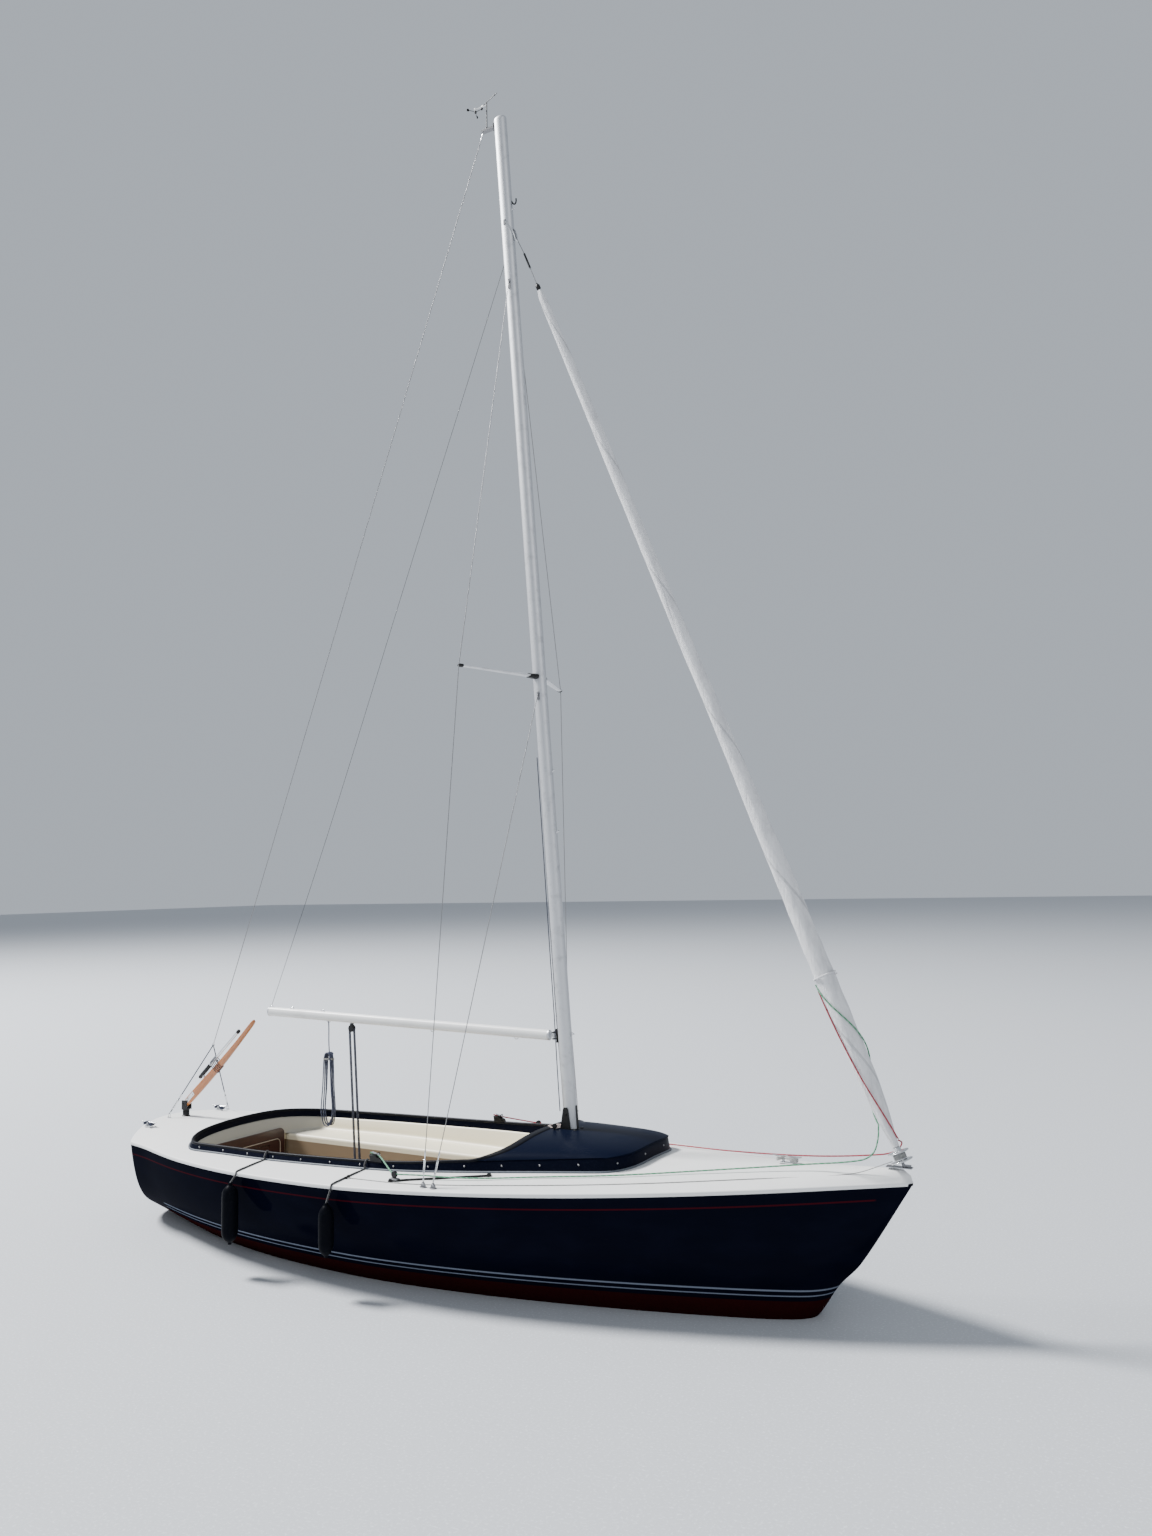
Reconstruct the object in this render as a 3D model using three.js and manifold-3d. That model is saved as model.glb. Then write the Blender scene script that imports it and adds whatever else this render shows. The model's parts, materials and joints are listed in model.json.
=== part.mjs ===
// An open day-sailing keelboat of about 6.4 m: hull, deck, open cockpit, cuddy, fixed keel, rudder and rig.
// Millimetres. +X points to the bow, +Y to port, +Z up. The origin is on the waterline, amidships.
import * as THREE from 'three';
import { mergeVertices } from 'three/addons/utils/BufferGeometryUtils.js';
import Module from 'manifold-3d';

const wasm = await Module();
wasm.setup();

// Hull, driving sizes
const STEM_X = 3235;
const STERN_X = -3130;
const STERN_BOW = 300;       // how far the quarters lie ahead of the middle of the transom
const STERN_BOW_FROM = -1800;
const STERN_HALF = 665;
const STERN_RAKE = 0.11;     // mm aft for each mm up
const DECK_EDGE = 12;
const DECK_CROWN = 72;
const GAP = 0.4;             // between pieces that rest on each other

// Cockpit
const SEAT_Z = 600;
const SOLE_Z = 180;
const LINER = 14;
const WELL_AFT = -2215;
const FOOTWELL_HALF = 430;
const FOOTWELL_FRONT = 900;
const LOCKER = { depth: 420, half: 235, low: 300, high: 545, rim: 85, wall: 10 };

// Coaming
const COAMING_FRONT_X = 1535;
const COAMING_SHOULDER = { x: 1390, y: 420 };
const COAMING_AFT_X = -2290;
const COAMING_THICK = 34;
const COAMING_WALL = 28;
const COAMING_LEAN = 14;

// Rudder and tiller
const STOCK = { x: -2950, r: 16, bore: 21, low: -60, high: 806 };
const TILLER_PIVOT = { x: -2950, z: 862 };
const TILLER_TIP = { x: -2150, z: 1595 };

// Mast and boom
const MAST_FOOT = { x: 887, z: 980 };
const MAST_RAKE = THREE.MathUtils.degToRad(3.535);
const MAST_LENGTH = 7690;
const MAST_FORE_AFT = 105;
const MAST_ACROSS = 72;
const SPREADER_Z = 4190;
const SPREADER_TIP = { x: 458, y: 685, z: 4200 };
const GOOSENECK = { x: 758, z: 1609 };
const BOOM_END = { x: -1985, z: 1678 };
const BOOM_TUBE_FRONT = -36;
const BOOM_DEEP = 72;
const BOOM_ACROSS = 58;

// Stays
const WIRE_R = 2.5;
const FORESTAY_LOW = { x: 3215, z: 900 };
const FORESTAY_HIGH = { x: 530, z: 7690 };
const FORESTAY_PLATE_Z = 7652;
const CHAINPLATE = { upperX: 320, lowerX: 400, y: 950 };
const BACKSTAY_TOP = { x: 250, z: 8577 };
const BRIDLE = { x: -2760, y: 120, z: 1350 };
const BRIDLE_FEET = [{ x: -3010, y: 530 }, { x: -3020, y: -120 }];
const TRACK = { aft: { x: 10, y: 925 }, front: { x: 655, y: 655 } };

// Tables: centreline x of a section, value
const DECK_HALF = [[-3130, 665], [-2830, 715], [-2500, 795], [-2000, 912], [-1500, 1010], [-1000, 1064],
  [-390, 1081], [0, 1055], [500, 977], [1000, 864], [1500, 718], [2000, 545], [2500, 345], [3000, 121], [3235, 12]];
const SHEER_Z = [[-3130, 686], [-2000, 681], [-1000, 691], [0, 714], [1000, 749], [2000, 796], [3235, 868]];
const KEEL_Z = [[-3130, 40], [-2700, -35], [-2200, -115], [-1600, -190], [-800, -250], [0, -270], [800, -262],
  [1600, -225], [2200, -160], [2450, -95], [2620, 5], [2762, 201], [2912, 359], [3235, 846]];
const COAMING_HALF = [[-2070, 745], [-1700, 762], [-1250, 785], [-640, 775], [-100, 745], [380, 655],
  [840, 545], [1100, 485], [1390, 420]];
const COAMING_HEIGHT = [[-2300, 45], [-600, 45], [0, 52], [400, 68], [840, 76], [1360, 88], [1560, 86]];
const CUDDY_TOP_Z = [[700, 955], [900, 960], [1200, 958], [1400, 952], [1540, 940]];

const lerp = THREE.MathUtils.lerp;
const clamp = THREE.MathUtils.clamp;
const vec = (x, y, z) => new THREE.Vector3(x, y, z);
const steps = count => Array.from({ length: count + 1 }, (_, i) => i / count);

// A smooth function through the rows of a table of [x, value].
function through(rows) {
  const slope = rows.map((row, i) => {
    const a = rows[Math.max(0, i - 1)];
    const b = rows[Math.min(rows.length - 1, i + 1)];
    return (b[1] - a[1]) / (b[0] - a[0]);
  });
  return x => {
    const at = clamp(x, rows[0][0], rows[rows.length - 1][0]);
    const i = clamp(rows.findIndex(row => row[0] >= at) - 1, 0, rows.length - 2);
    const h = rows[i + 1][0] - rows[i][0];
    const t = (at - rows[i][0]) / h;
    const t2 = t * t;
    const t3 = t2 * t;
    return (2 * t3 - 3 * t2 + 1) * rows[i][1] + (t3 - 2 * t2 + t) * h * slope[i]
      + (3 * t2 - 2 * t3) * rows[i + 1][1] + (t3 - t2) * h * slope[i + 1];
  };
}

const deckHalf = through(DECK_HALF);
const sheerZ = through(SHEER_Z);
const keelZ = through(KEEL_Z);
const coamingHalf = through(COAMING_HALF);
const coamingHeight = through(COAMING_HEIGHT);
const cuddyTopZ = through(CUDDY_TOP_Z);
const deckTop = (x, y) => sheerZ(x) + DECK_CROWN * (1 - (y / deckHalf(x)) ** 2);

// A closed solid through rings of points. Each ring has the same number of points.
function loft(rings, looped = false) {
  const n = rings[0].length;
  const points = rings.flat();
  const index = [];
  const bands = looped ? rings.length : rings.length - 1;
  for (let i = 0; i < bands; i++) {
    const next = (i + 1) % rings.length;
    for (let j = 0; j < n; j++) {
      const k = (j + 1) % n;
      index.push(i * n + j, i * n + k, next * n + k, i * n + j, next * n + k, next * n + j);
    }
  }
  const cap = (ring, flip) => {
    const middle = rings[ring].reduce((sum, p) => sum.add(p), vec(0, 0, 0)).divideScalar(n);
    points.push(middle);
    for (let j = 0; j < n; j++) {
      const a = ring * n + j;
      const b = ring * n + (j + 1) % n;
      index.push(points.length - 1, flip ? a : b, flip ? b : a);
    }
  };
  if (!looped) {
    cap(0, false);
    cap(rings.length - 1, true);
  }
  const geometry = new THREE.BufferGeometry().setFromPoints(points);
  if (volumeOf(points, index) < 0) index.reverse();
  geometry.setIndex(index);
  return geometry;
}

// A closed sheet over rows of points for its underside, each row with the same number of points.
function sheet(rows, thick) {
  const under = rows.flat();
  const count = under.length;
  const n = rows[0].length;
  const points = [...under, ...under.map(p => vec(p.x, p.y, p.z + thick))];
  const index = [];
  for (let i = 0; i + 1 < rows.length; i++) {
    for (let j = 0; j + 1 < n; j++) {
      const a = i * n + j;
      const b = a + n;
      index.push(a, a + 1, b + 1, a, b + 1, b, count + a, count + b + 1, count + a + 1, count + a, count + b, count + b + 1);
    }
  }
  const across = steps(n - 1).map((_, j) => j);
  const down = steps(rows.length - 1).map((_, i) => i * n);
  const rim = [...across.slice(0, -1), ...down.slice(0, -1).map(i => i + n - 1),
    ...across.slice(1).reverse().map(j => count - n + j), ...down.slice(1).reverse()];
  rim.forEach((a, i) => {
    const b = rim[(i + 1) % rim.length];
    index.push(a, count + a, count + b, a, count + b, b);
  });
  const geometry = new THREE.BufferGeometry().setFromPoints(points);
  if (volumeOf(points, index) < 0) index.reverse();
  geometry.setIndex(index);
  return geometry;
}

function volumeOf(points, index) {
  let sum = 0;
  for (let i = 0; i < index.length; i += 3) {
    sum += points[index[i]].dot(points[index[i + 1]].clone().cross(points[index[i + 2]]));
  }
  return sum / 6;
}

// A solid rod through points, with its own radius at each one.
function rod(points, radii, sides = 8) {
  const rings = points.map((p, i) => {
    const ahead = points[Math.min(points.length - 1, i + 1)].clone().sub(points[Math.max(0, i - 1)]).normalize();
    const side = new THREE.Vector3().crossVectors(ahead, Math.abs(ahead.y) > 0.9 ? vec(1, 0, 0) : vec(0, 1, 0));
    side.normalize();
    const up = new THREE.Vector3().crossVectors(side, ahead);
    const r = Array.isArray(radii) ? radii[i] : radii;
    return steps(sides).slice(0, sides).map(t => p.clone()
      .addScaledVector(side, r * Math.cos(t * 2 * Math.PI))
      .addScaledVector(up, r * Math.sin(t * 2 * Math.PI)));
  });
  return loft(rings);
}

function toSolid(geometry) {
  const plain = geometry.clone();
  plain.deleteAttribute('normal');
  plain.deleteAttribute('uv');
  const merged = mergeVertices(plain, 1e-3);
  return new wasm.Manifold(new wasm.Mesh({
    numProp: 3,
    vertProperties: new Float32Array(merged.attributes.position.array),
    triVerts: new Uint32Array(merged.index.array),
  }));
}

function toGeometry(solid) {
  const mesh = solid.getMesh();
  const geometry = new THREE.BufferGeometry();
  geometry.setAttribute('position', new THREE.BufferAttribute(mesh.vertProperties, 3));
  geometry.setIndex(new THREE.BufferAttribute(mesh.triVerts, 1));
  return geometry;
}

const join = (first, ...rest) => toGeometry(rest.reduce((all, g) => all.add(toSolid(g)), toSolid(first)));
const cut = (first, ...rest) => toGeometry(rest.reduce((all, g) => all.subtract(toSolid(g)), toSolid(first)));

function box(x0, x1, y0, y1, z0, z1) {
  return new THREE.BoxGeometry(x1 - x0, y1 - y0, z1 - z0).translate((x0 + x1) / 2, (y0 + y1) / 2, (z0 + z1) / 2);
}

function upright(r, z0, z1, x = 0, y = 0, sides = 16) {
  return new THREE.CylinderGeometry(r, r, z1 - z0, sides).rotateX(Math.PI / 2).translate(x, y, (z0 + z1) / 2);
}

// A pin along Y.
function crossPin(r, x, y0, y1, z, sides = 12) {
  return new THREE.CylinderGeometry(r, r, y1 - y0, sides).translate(x, (y0 + y1) / 2, z);
}

const finishes = {
  navy: [0x0b1430, 0.25, 0], white: [0xe9e9e6, 0.45, 0], cream: [0xe4dcc3, 0.5, 0], black: [0x101216, 0.6, 0],
  mahogany: [0x5a2415, 0.35, 0], varnish: [0xb5662c, 0.25, 0], iron: [0x5c1a18, 0.8, 0],
  silver: [0xc9cdd0, 0.35, 0.8], steel: [0xb8bcc0, 0.2, 1], boom: [0xefefec, 0.4, 0], cloth: [0xd5d6d4, 0.8, 0],
  rubber: [0x11151f, 0.55, 0], rope: [0x44506e, 0.9, 0],
};
const boat = new THREE.Group();

function add(name, geometry, finish) {
  const [color, roughness, metalness] = finishes[finish];
  const mesh = new THREE.Mesh(geometry, new THREE.MeshStandardMaterial({ color, roughness, metalness }));
  mesh.name = name;
  boat.add(mesh);
  return mesh;
}

const sides = [['starboard', -1], ['port', 1]];

// Hull and deck. A section stands at x0 on the centreline and bends forward towards the quarters.
function sectionX(x0, y) {
  const share = Math.max(0, (STERN_BOW_FROM - x0) / (STERN_BOW_FROM - STERN_X));
  return x0 + STERN_BOW * share ** 2 * (y / STERN_HALF) ** 2;
}

// One side of a section, from the sheer to the keel, as a cubic between four points.
function hullSide(x0, t) {
  const half = deckHalf(x0);
  const top = sheerZ(x0) - DECK_EDGE - GAP;
  const low = keelZ(x0);
  const s = 1 - t;
  const y = half * (s ** 3 + 3 * s * s * t * 0.9 + 3 * s * t * t * 0.58);
  const z = s ** 3 * top + 3 * s * s * t * lerp(top, low, 0.55) + 3 * s * t * t * lerp(low, top, 0.03) + t ** 3 * low;
  return [y, z];
}

function hullRing(x0, scale = 1) {
  const starboard = steps(12).map(t => hullSide(x0, t)).map(([y, z]) => [-y, z]);
  const port = starboard.slice(0, -1).reverse().map(([y, z]) => [-y, z]);
  const [edge, top] = port[port.length - 1];
  const lid = [0.75, 0.5, 0.25, 0, -0.25, -0.5, -0.75].map(v => [v * edge, top]);
  const middle = lerp(top, keelZ(x0), 0.4);
  return [...starboard, ...port, ...lid].map(([y, z]) => {
    const height = lerp(middle, z, scale);
    const share = clamp((STERN_BOW_FROM - x0) / (STERN_BOW_FROM - STERN_X), 0, 1) ** 2;
    return vec(sectionX(x0, y * scale) - STERN_RAKE * share * (height - top), y * scale, height);
  });
}

const hullStations = [3235, 3150, 3040, 2912, 2800, 2690, 2560, 2400, 2200, 1950, 1650, 1300, 900, 450, 0, -450,
  -900, -1300, -1650, -1950, -2200, -2420, -2620, -2800, -2960, -3060];
function hullForm() {
  const rings = hullStations.map(x0 => hullRing(x0));
  [1, 0.8, 0.55, 0.3].forEach(scale => rings.push(hullRing(STERN_X, scale)));
  return loft(rings);
}

// Outline of the coaming's foot: front, port side, stern and starboard side, inwards by an inset.
function coamingLoop(inset = 0) {
  const half = [];
  const { x: shoulderX, y: shoulderY } = COAMING_SHOULDER;
  steps(9).forEach(t => half.push([COAMING_FRONT_X - (COAMING_FRONT_X - shoulderX) * t ** 5, shoulderY * t]));
  steps(16).slice(1).forEach(t => {
    const x = lerp(shoulderX, -2070, t);
    half.push([x, coamingHalf(x)]);
  });
  steps(10).slice(1).forEach(t => half.push([COAMING_AFT_X + 220 * (1 - t) ** 5, 745 * (1 - t)]));
  const loop = [...half, ...half.slice(1, -1).reverse().map(([x, y]) => [x, -y])];
  return loop.map(([x, y], i) => {
    const [ax, ay] = loop[(i + loop.length - 1) % loop.length];
    const [bx, by] = loop[(i + 1) % loop.length];
    const length = Math.hypot(bx - ax, by - ay);
    return [x + inset * (ay - by) / length, y + inset * (bx - ax) / length];
  });
}

// A prism over an outline of [x, y].
function prism(outline, z0, z1) {
  const shape = new THREE.Shape(outline.map(([x, y]) => new THREE.Vector2(x, y)));
  return new THREE.ExtrudeGeometry(shape, { depth: z1 - z0, bevelEnabled: false }).translate(0, 0, z0);
}

// The cockpit's hollow, grown by a margin: a wide part down to the seats and a footwell down to the sole.
function wellForm(grow, top) {
  const wide = [];
  steps(10).forEach(t => {
    const x = lerp(WELL_AFT - grow, 1250 + grow, t);
    wide.push([x, coamingHalf(clamp(x, -2070, 1390)) - COAMING_THICK - 24 + grow]);
  });
  const outline = [...wide, ...wide.slice().reverse().map(([x, y]) => [x, -y])];
  const seats = prism(outline, SEAT_Z - grow, top);
  const footwell = box(WELL_AFT - grow, FOOTWELL_FRONT + grow, -FOOTWELL_HALF - grow, FOOTWELL_HALF + grow,
    SOLE_Z - grow, SEAT_Z + 10);
  return join(seats, footwell);
}

const locker = (grow, x1) => box(WELL_AFT - LOCKER.depth - grow, x1, -LOCKER.half - grow, LOCKER.half + grow,
  LOCKER.low - grow, LOCKER.high + grow);
// The block that the rim of the locker's mouth is cut from; it runs aft from the liner.
const mouth = (grow, x1) => box(WELL_AFT - LOCKER.rim - grow, x1, -LOCKER.half - LOCKER.wall - grow,
  LOCKER.half + LOCKER.wall + grow, LOCKER.low - LOCKER.wall - grow, LOCKER.high + LOCKER.wall + grow);
const stockBore = upright(STOCK.bore, -200, 900, STOCK.x);

const hollows = [wellForm(LINER + GAP, 900), locker(0, WELL_AFT), mouth(GAP, WELL_AFT), stockBore];
add('hull', cut(hullForm(), ...hollows), 'navy');

function deckForm() {
  const across = steps(16).map(t => 2 * t - 1);
  const stations = [...hullStations, STERN_X];
  return loft(stations.map(x0 => {
    const half = deckHalf(x0);
    const top = across.map(v => vec(sectionX(x0, v * half), v * half, deckTop(x0, v * half)));
    const under = across.slice().reverse().map(v => vec(sectionX(x0, v * half), v * half, sheerZ(x0) - DECK_EDGE));
    return [...top, ...under];
  }));
}
const linerTop = 700;
add('deck', cut(deckForm(), prism(coamingLoop(COAMING_THICK + 4), 600, 1000), stockBore), 'white');

const linerShell = cut(join(wellForm(LINER, linerTop - 40), mouth(0, WELL_AFT)), wellForm(0, 900));
add('cockpit_liner', cut(linerShell, locker(0, WELL_AFT + 50)), 'cream');

// Mahogany panel on the aft wall of the cockpit, with a door hinged at its foot.
const PANEL = { half: 405, low: 235, high: 655, thick: 16 };
const DOOR = { half: 225, low: 312, high: 536 };
const panelX = WELL_AFT + GAP;
add('locker_panel', cut(box(panelX, panelX + PANEL.thick, -PANEL.half, PANEL.half, PANEL.low, PANEL.high),
  box(panelX - 5, panelX + 40, -DOOR.half - 6, DOOR.half + 6, DOOR.low - 6, DOOR.high + 6)), 'mahogany');
add('locker_door', box(panelX + 1, panelX + PANEL.thick, -DOOR.half, DOOR.half, DOOR.low, DOOR.high), 'mahogany');

// Coaming: a band all round the cockpit and the cuddy's foot.
const bandTop = (x, y) => deckTop(x, y) + 2 + coamingHeight(x);
const outer = coamingLoop(0);
const outerTop = coamingLoop(COAMING_LEAN);
const inner = coamingLoop(COAMING_WALL);
add('coaming', loft(outer.map((p, i) => {
  const [x, y] = p;
  const [tx, ty] = outerTop[i];
  const [ix, iy] = inner[i];
  const top = bandTop(x, y);
  return [vec(x, y, deckTop(x, y) + 2), vec(tx, ty, top), vec(ix, iy, top), vec(ix, iy, deckTop(ix, iy) + 2)];
}), true), 'navy');

// Cuddy: a crowned shell over the front of the cockpit, its aft edge straight across with rounded ends.
const CUDDY = { aft: 694, front: 1521, wing: 484, shoulder: 1390, thick: 16, fall: 0.8, seat: 1.5 };
function cuddyForm() {
  const thick = CUDDY.thick;
  const across = steps(20).map(t => 2 * t - 1);
  return sheet(steps(8).map(s => {
    const edgeX = lerp(CUDDY.wing, CUDDY.shoulder, s);
    const edgeY = coamingHalf(Math.min(edgeX, COAMING_SHOULDER.x)) - COAMING_LEAN - 2;
    const edgeZ = bandTop(edgeX, edgeY) + GAP;
    return across.map(v => {
      const x = lerp(lerp(CUDDY.aft, CUDDY.front, s), edgeX, Math.abs(v) ** lerp(8, 5, s));
      const rise = Math.max(0, cuddyTopZ(x) - thick - edgeZ) * (1 - Math.abs(v) ** 3.4);
      const bandZ = s > CUDDY.fall ? bandTop(x + COAMING_LEAN, v * edgeY) + CUDDY.seat : 0;
      return vec(x, v * edgeY, Math.max(edgeZ + rise * clamp((1 - s) / (1 - CUDDY.fall), 0, 1), bandZ));
    });
  }), thick);
}
add('cuddy', cuddyForm(), 'navy');

// Fixed keel, skeg and rudder
function fin(rows) {
  // Rows of [z, leading x, trailing x, half thickness], lowest last.
  return loft(rows.map(([z, lead, trail, half]) => {
    const chord = lead - trail;
    const shape = [[0, 0], [0.06, 0.6], [0.3, 1], [0.7, 0.9], [1, 0.12]];
    const port = shape.map(([t, w]) => vec(lead - chord * t, half * w, z));
    const starboard = shape.slice(1).reverse().map(([t, w]) => vec(lead - chord * t, -half * w, z));
    return [...port, ...starboard];
  }));
}
const hullBelow = hullForm().translate(0, 0, -GAP);
add('keel', cut(fin([[-150, 1150, -780, 42], [-400, 1040, -740, 45], [-640, 900, -690, 52], [-750, 850, -670, 55]]),
  hullBelow), 'iron');
add('skeg', cut(fin([[60, -1750, -2835, 16], [-250, -2150, -2838, 18], [-560, -2560, -2842, 18]]), hullBelow), 'iron');
const blade = fin([[-48, -2872, -3170, 20], [-300, -2872, -3200, 22], [-600, -2880, -3170, 20]]);
add('rudder', join(blade, upright(STOCK.r, STOCK.low, STOCK.high, STOCK.x)), 'iron');

const headX = TILLER_PIVOT.x;
const headBlock = join(upright(30, STOCK.high + GAP, 827, headX), box(headX - 24, headX + 34, -30, -22, 815, 892),
  box(headX - 24, headX + 34, 22, 30, 815, 892), crossPin(5, headX, -36, 36, TILLER_PIVOT.z));
add('rudder_head', headBlock, 'black');

// Tiller: deep at the heel, slim at the tip, bored for its pin.
const tillerAngle = Math.atan2(TILLER_TIP.z - TILLER_PIVOT.z, TILLER_TIP.x - TILLER_PIVOT.x);
const tillerLength = Math.hypot(TILLER_TIP.z - TILLER_PIVOT.z, TILLER_TIP.x - TILLER_PIVOT.x);
const tillerFrame = new THREE.Matrix4().makeRotationY(-tillerAngle).setPosition(TILLER_PIVOT.x, 0, TILLER_PIVOT.z);
function tillerForm() {
  // Rows of [distance from the pin, bend, depth, width].
  const rows = [[-24, 0, 40, 36], [30, 0, 62, 38], [220, -6, 68, 38], [520, -14, 58, 36], [820, -10, 44, 32],
    [tillerLength - 40, 0, 36, 28], [tillerLength, 2, 24, 20]];
  const form = loft(rows.map(([x, z, deep, wide]) => steps(8).slice(0, 8).map(t => vec(x,
    wide / 2 * Math.cos((t + 1 / 16) * 2 * Math.PI) * 1.08, z + deep / 2 * Math.sin((t + 1 / 16) * 2 * Math.PI) * 1.08))));
  return cut(form, crossPin(6, 0, -60, 60, 0));
}
add('tiller', tillerForm().applyMatrix4(tillerFrame), 'varnish');
const extension = join(rod([vec(300, 0, 62), vec(330, 0, 62), vec(870, 0, 58), vec(880, 0, 58)], [14, 11, 11, 14]),
  rod([vec(320, 0, 31), vec(320, 0, 62)], 9));
add('tiller_extension', extension.applyMatrix4(tillerFrame), 'silver');

// Mast and what it carries. Points along the mast are measured from its foot.
const mastDirection = vec(-Math.sin(MAST_RAKE), 0, Math.cos(MAST_RAKE));
const onMast = (up, fore = 0, y = 0) => vec(MAST_FOOT.x, y, MAST_FOOT.z).addScaledVector(mastDirection, up)
  .add(vec(fore * Math.cos(MAST_RAKE), 0, fore * Math.sin(MAST_RAKE)));
const upTo = z => (z - MAST_FOOT.z) / Math.cos(MAST_RAKE);
const mastFrame = new THREE.Matrix4().makeRotationY(-MAST_RAKE).setPosition(MAST_FOOT.x, 0, MAST_FOOT.z);

function oval(a, b, count) {
  return steps(count).slice(0, count).map(t => new THREE.Vector2(a / 2 * Math.cos(t * 2 * Math.PI),
    b / 2 * Math.sin(t * 2 * Math.PI)));
}
// Rows of [distance down from the top, share of the section], for the rounded end.
const mastRows = [[MAST_LENGTH, 1], [26, 1], [10, 0.9], [2, 0.72], [0, 0.4]];
const mastTube = loft(mastRows.map(([down, share]) => oval(MAST_FORE_AFT * share, MAST_ACROSS * share, 20)
  .map(p => vec(p.x, p.y, MAST_LENGTH - down))));
add('mast', mastTube.applyMatrix4(mastFrame), 'silver');

const stepFloor = cuddyTopZ(MAST_FOOT.x) + 1.5;
const mastStep = join(box(790, 955, -62, 62, stepFloor, stepFloor + 14),
  ...sides.map(([, s]) => box(820, 905, Math.min(s * 38, s * 45), Math.max(s * 38, s * 45), stepFloor + 8, stepFloor + 165)));
add('mast_step', mastStep, 'black');

// Masthead crane: a plate on the mast's aft face and a level arm over the backstay.
const CRANE = { tip: 246, half: 18, low: 8583, high: 8599 };
const craneX = onMast(upTo(CRANE.low)).x - MAST_FORE_AFT / 2;
const cranePlate = box(-6, -0.8, -22, 22, -30, 44).applyMatrix4(new THREE.Matrix4().makeRotationY(-MAST_RAKE)
  .setPosition(craneX, 0, CRANE.low));
add('masthead_crane', join(cranePlate, box(CRANE.tip, craneX - 4, -CRANE.half, CRANE.half, CRANE.low, CRANE.high)),
  'silver');

sides.forEach(([side, s]) => {
  const root = onMast(upTo(SPREADER_Z), -8, s * (MAST_ACROSS / 2 + 0.8));
  const tip = vec(SPREADER_TIP.x, s * SPREADER_TIP.y, SPREADER_TIP.z);
  const rows = [[0, 66, 22], [0.08, 62, 20], [0.95, 40, 15], [1, 34, 15]];
  const rings = rows.map(([t, chord, thick]) => oval(chord, thick, 10)
    .map(p => root.clone().lerp(tip, t).add(vec(p.x, 0, p.y))));
  add(`spreader_${side}`, loft(rings), 'silver');
});

// Shrouds end in turnbuckles at the deck.
function stay(points, turnbuckle = 0) {
  const last = points[points.length - 1];
  const before = points[points.length - 2];
  const length = last.distanceTo(before);
  const at = d => last.clone().lerp(before, d / length);
  if (!turnbuckle) return rod(points, WIRE_R, 6);
  const path = [...points.slice(0, -1), at(turnbuckle + 4), at(turnbuckle), at(6), last];
  return rod(path, [...points.slice(0, -1).map(() => WIRE_R), WIRE_R, 6.5, 6.5, 4], 6);
}
sides.forEach(([side, s]) => {
  const out = s * (SPREADER_TIP.y + 4);
  const foot = x => vec(x, s * CHAINPLATE.y, deckTop(x, CHAINPLATE.y) + 40);
  add(`upper_shroud_${side}`, stay([onMast(upTo(7270), 0, s * (MAST_ACROSS / 2 + 5)),
    vec(SPREADER_TIP.x, out, SPREADER_TIP.z), foot(CHAINPLATE.upperX)], 170), 'steel');
  add(`lower_shroud_${side}`, stay([onMast(upTo(4060), 0, s * (MAST_ACROSS / 2 + 5)),
    foot(CHAINPLATE.lowerX)], 170), 'steel');
  const floor = deckTop(CHAINPLATE.upperX, CHAINPLATE.y);
  const y = s * CHAINPLATE.y;
  const lugs = [CHAINPLATE.upperX, CHAINPLATE.lowerX].map(x => box(x - 12, x + 12, y - 3, y + 3, floor + 2, floor + 38));
  add(`chainplate_${side}`, join(box(CHAINPLATE.upperX - 26, CHAINPLATE.lowerX + 26, y - 16, y + 16, floor + 4.5,
    floor + 10.5), ...lugs), 'steel');
});

// Backstay: one wire that divides into two legs over the stern.
const apex = vec(BRIDLE.x, BRIDLE.y, BRIDLE.z);
const legs = BRIDLE_FEET.map(({ x, y }) => rod([apex, vec(x, y, deckTop(x, y) + 30)], WIRE_R, 6));
const eyes = BRIDLE_FEET.map(({ x, y }) => box(x - 22, x + 22, y - 12, y + 12, deckTop(x, y) + 3.5, deckTop(x, y) + 12));
const eyeLegs = BRIDLE_FEET.map(({ x, y }) => upright(7, deckTop(x, y) + 8, deckTop(x, y) + 38, x, y, 8));
add('backstay', join(rod([vec(BACKSTAY_TOP.x, 0, BACKSTAY_TOP.z), apex], WIRE_R, 6),
  new THREE.SphereGeometry(11, 10, 8).translate(apex.x, apex.y, apex.z), ...legs, ...eyes, ...eyeLegs), 'steel');

// Forestay, with the furled jib that turns on it.
const stayLow = vec(FORESTAY_LOW.x, 0, FORESTAY_LOW.z);
const stayHigh = vec(FORESTAY_HIGH.x, 0, FORESTAY_HIGH.z);
const stayAim = stayHigh.clone().sub(stayLow).normalize();
const onStay = z => stayLow.clone().addScaledVector(stayAim, (z - FORESTAY_LOW.z) / stayAim.z);
const stayFrame = new THREE.Matrix4().makeRotationFromQuaternion(
  new THREE.Quaternion().setFromUnitVectors(vec(0, 0, 1), stayAim)).setPosition(stayLow);
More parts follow.
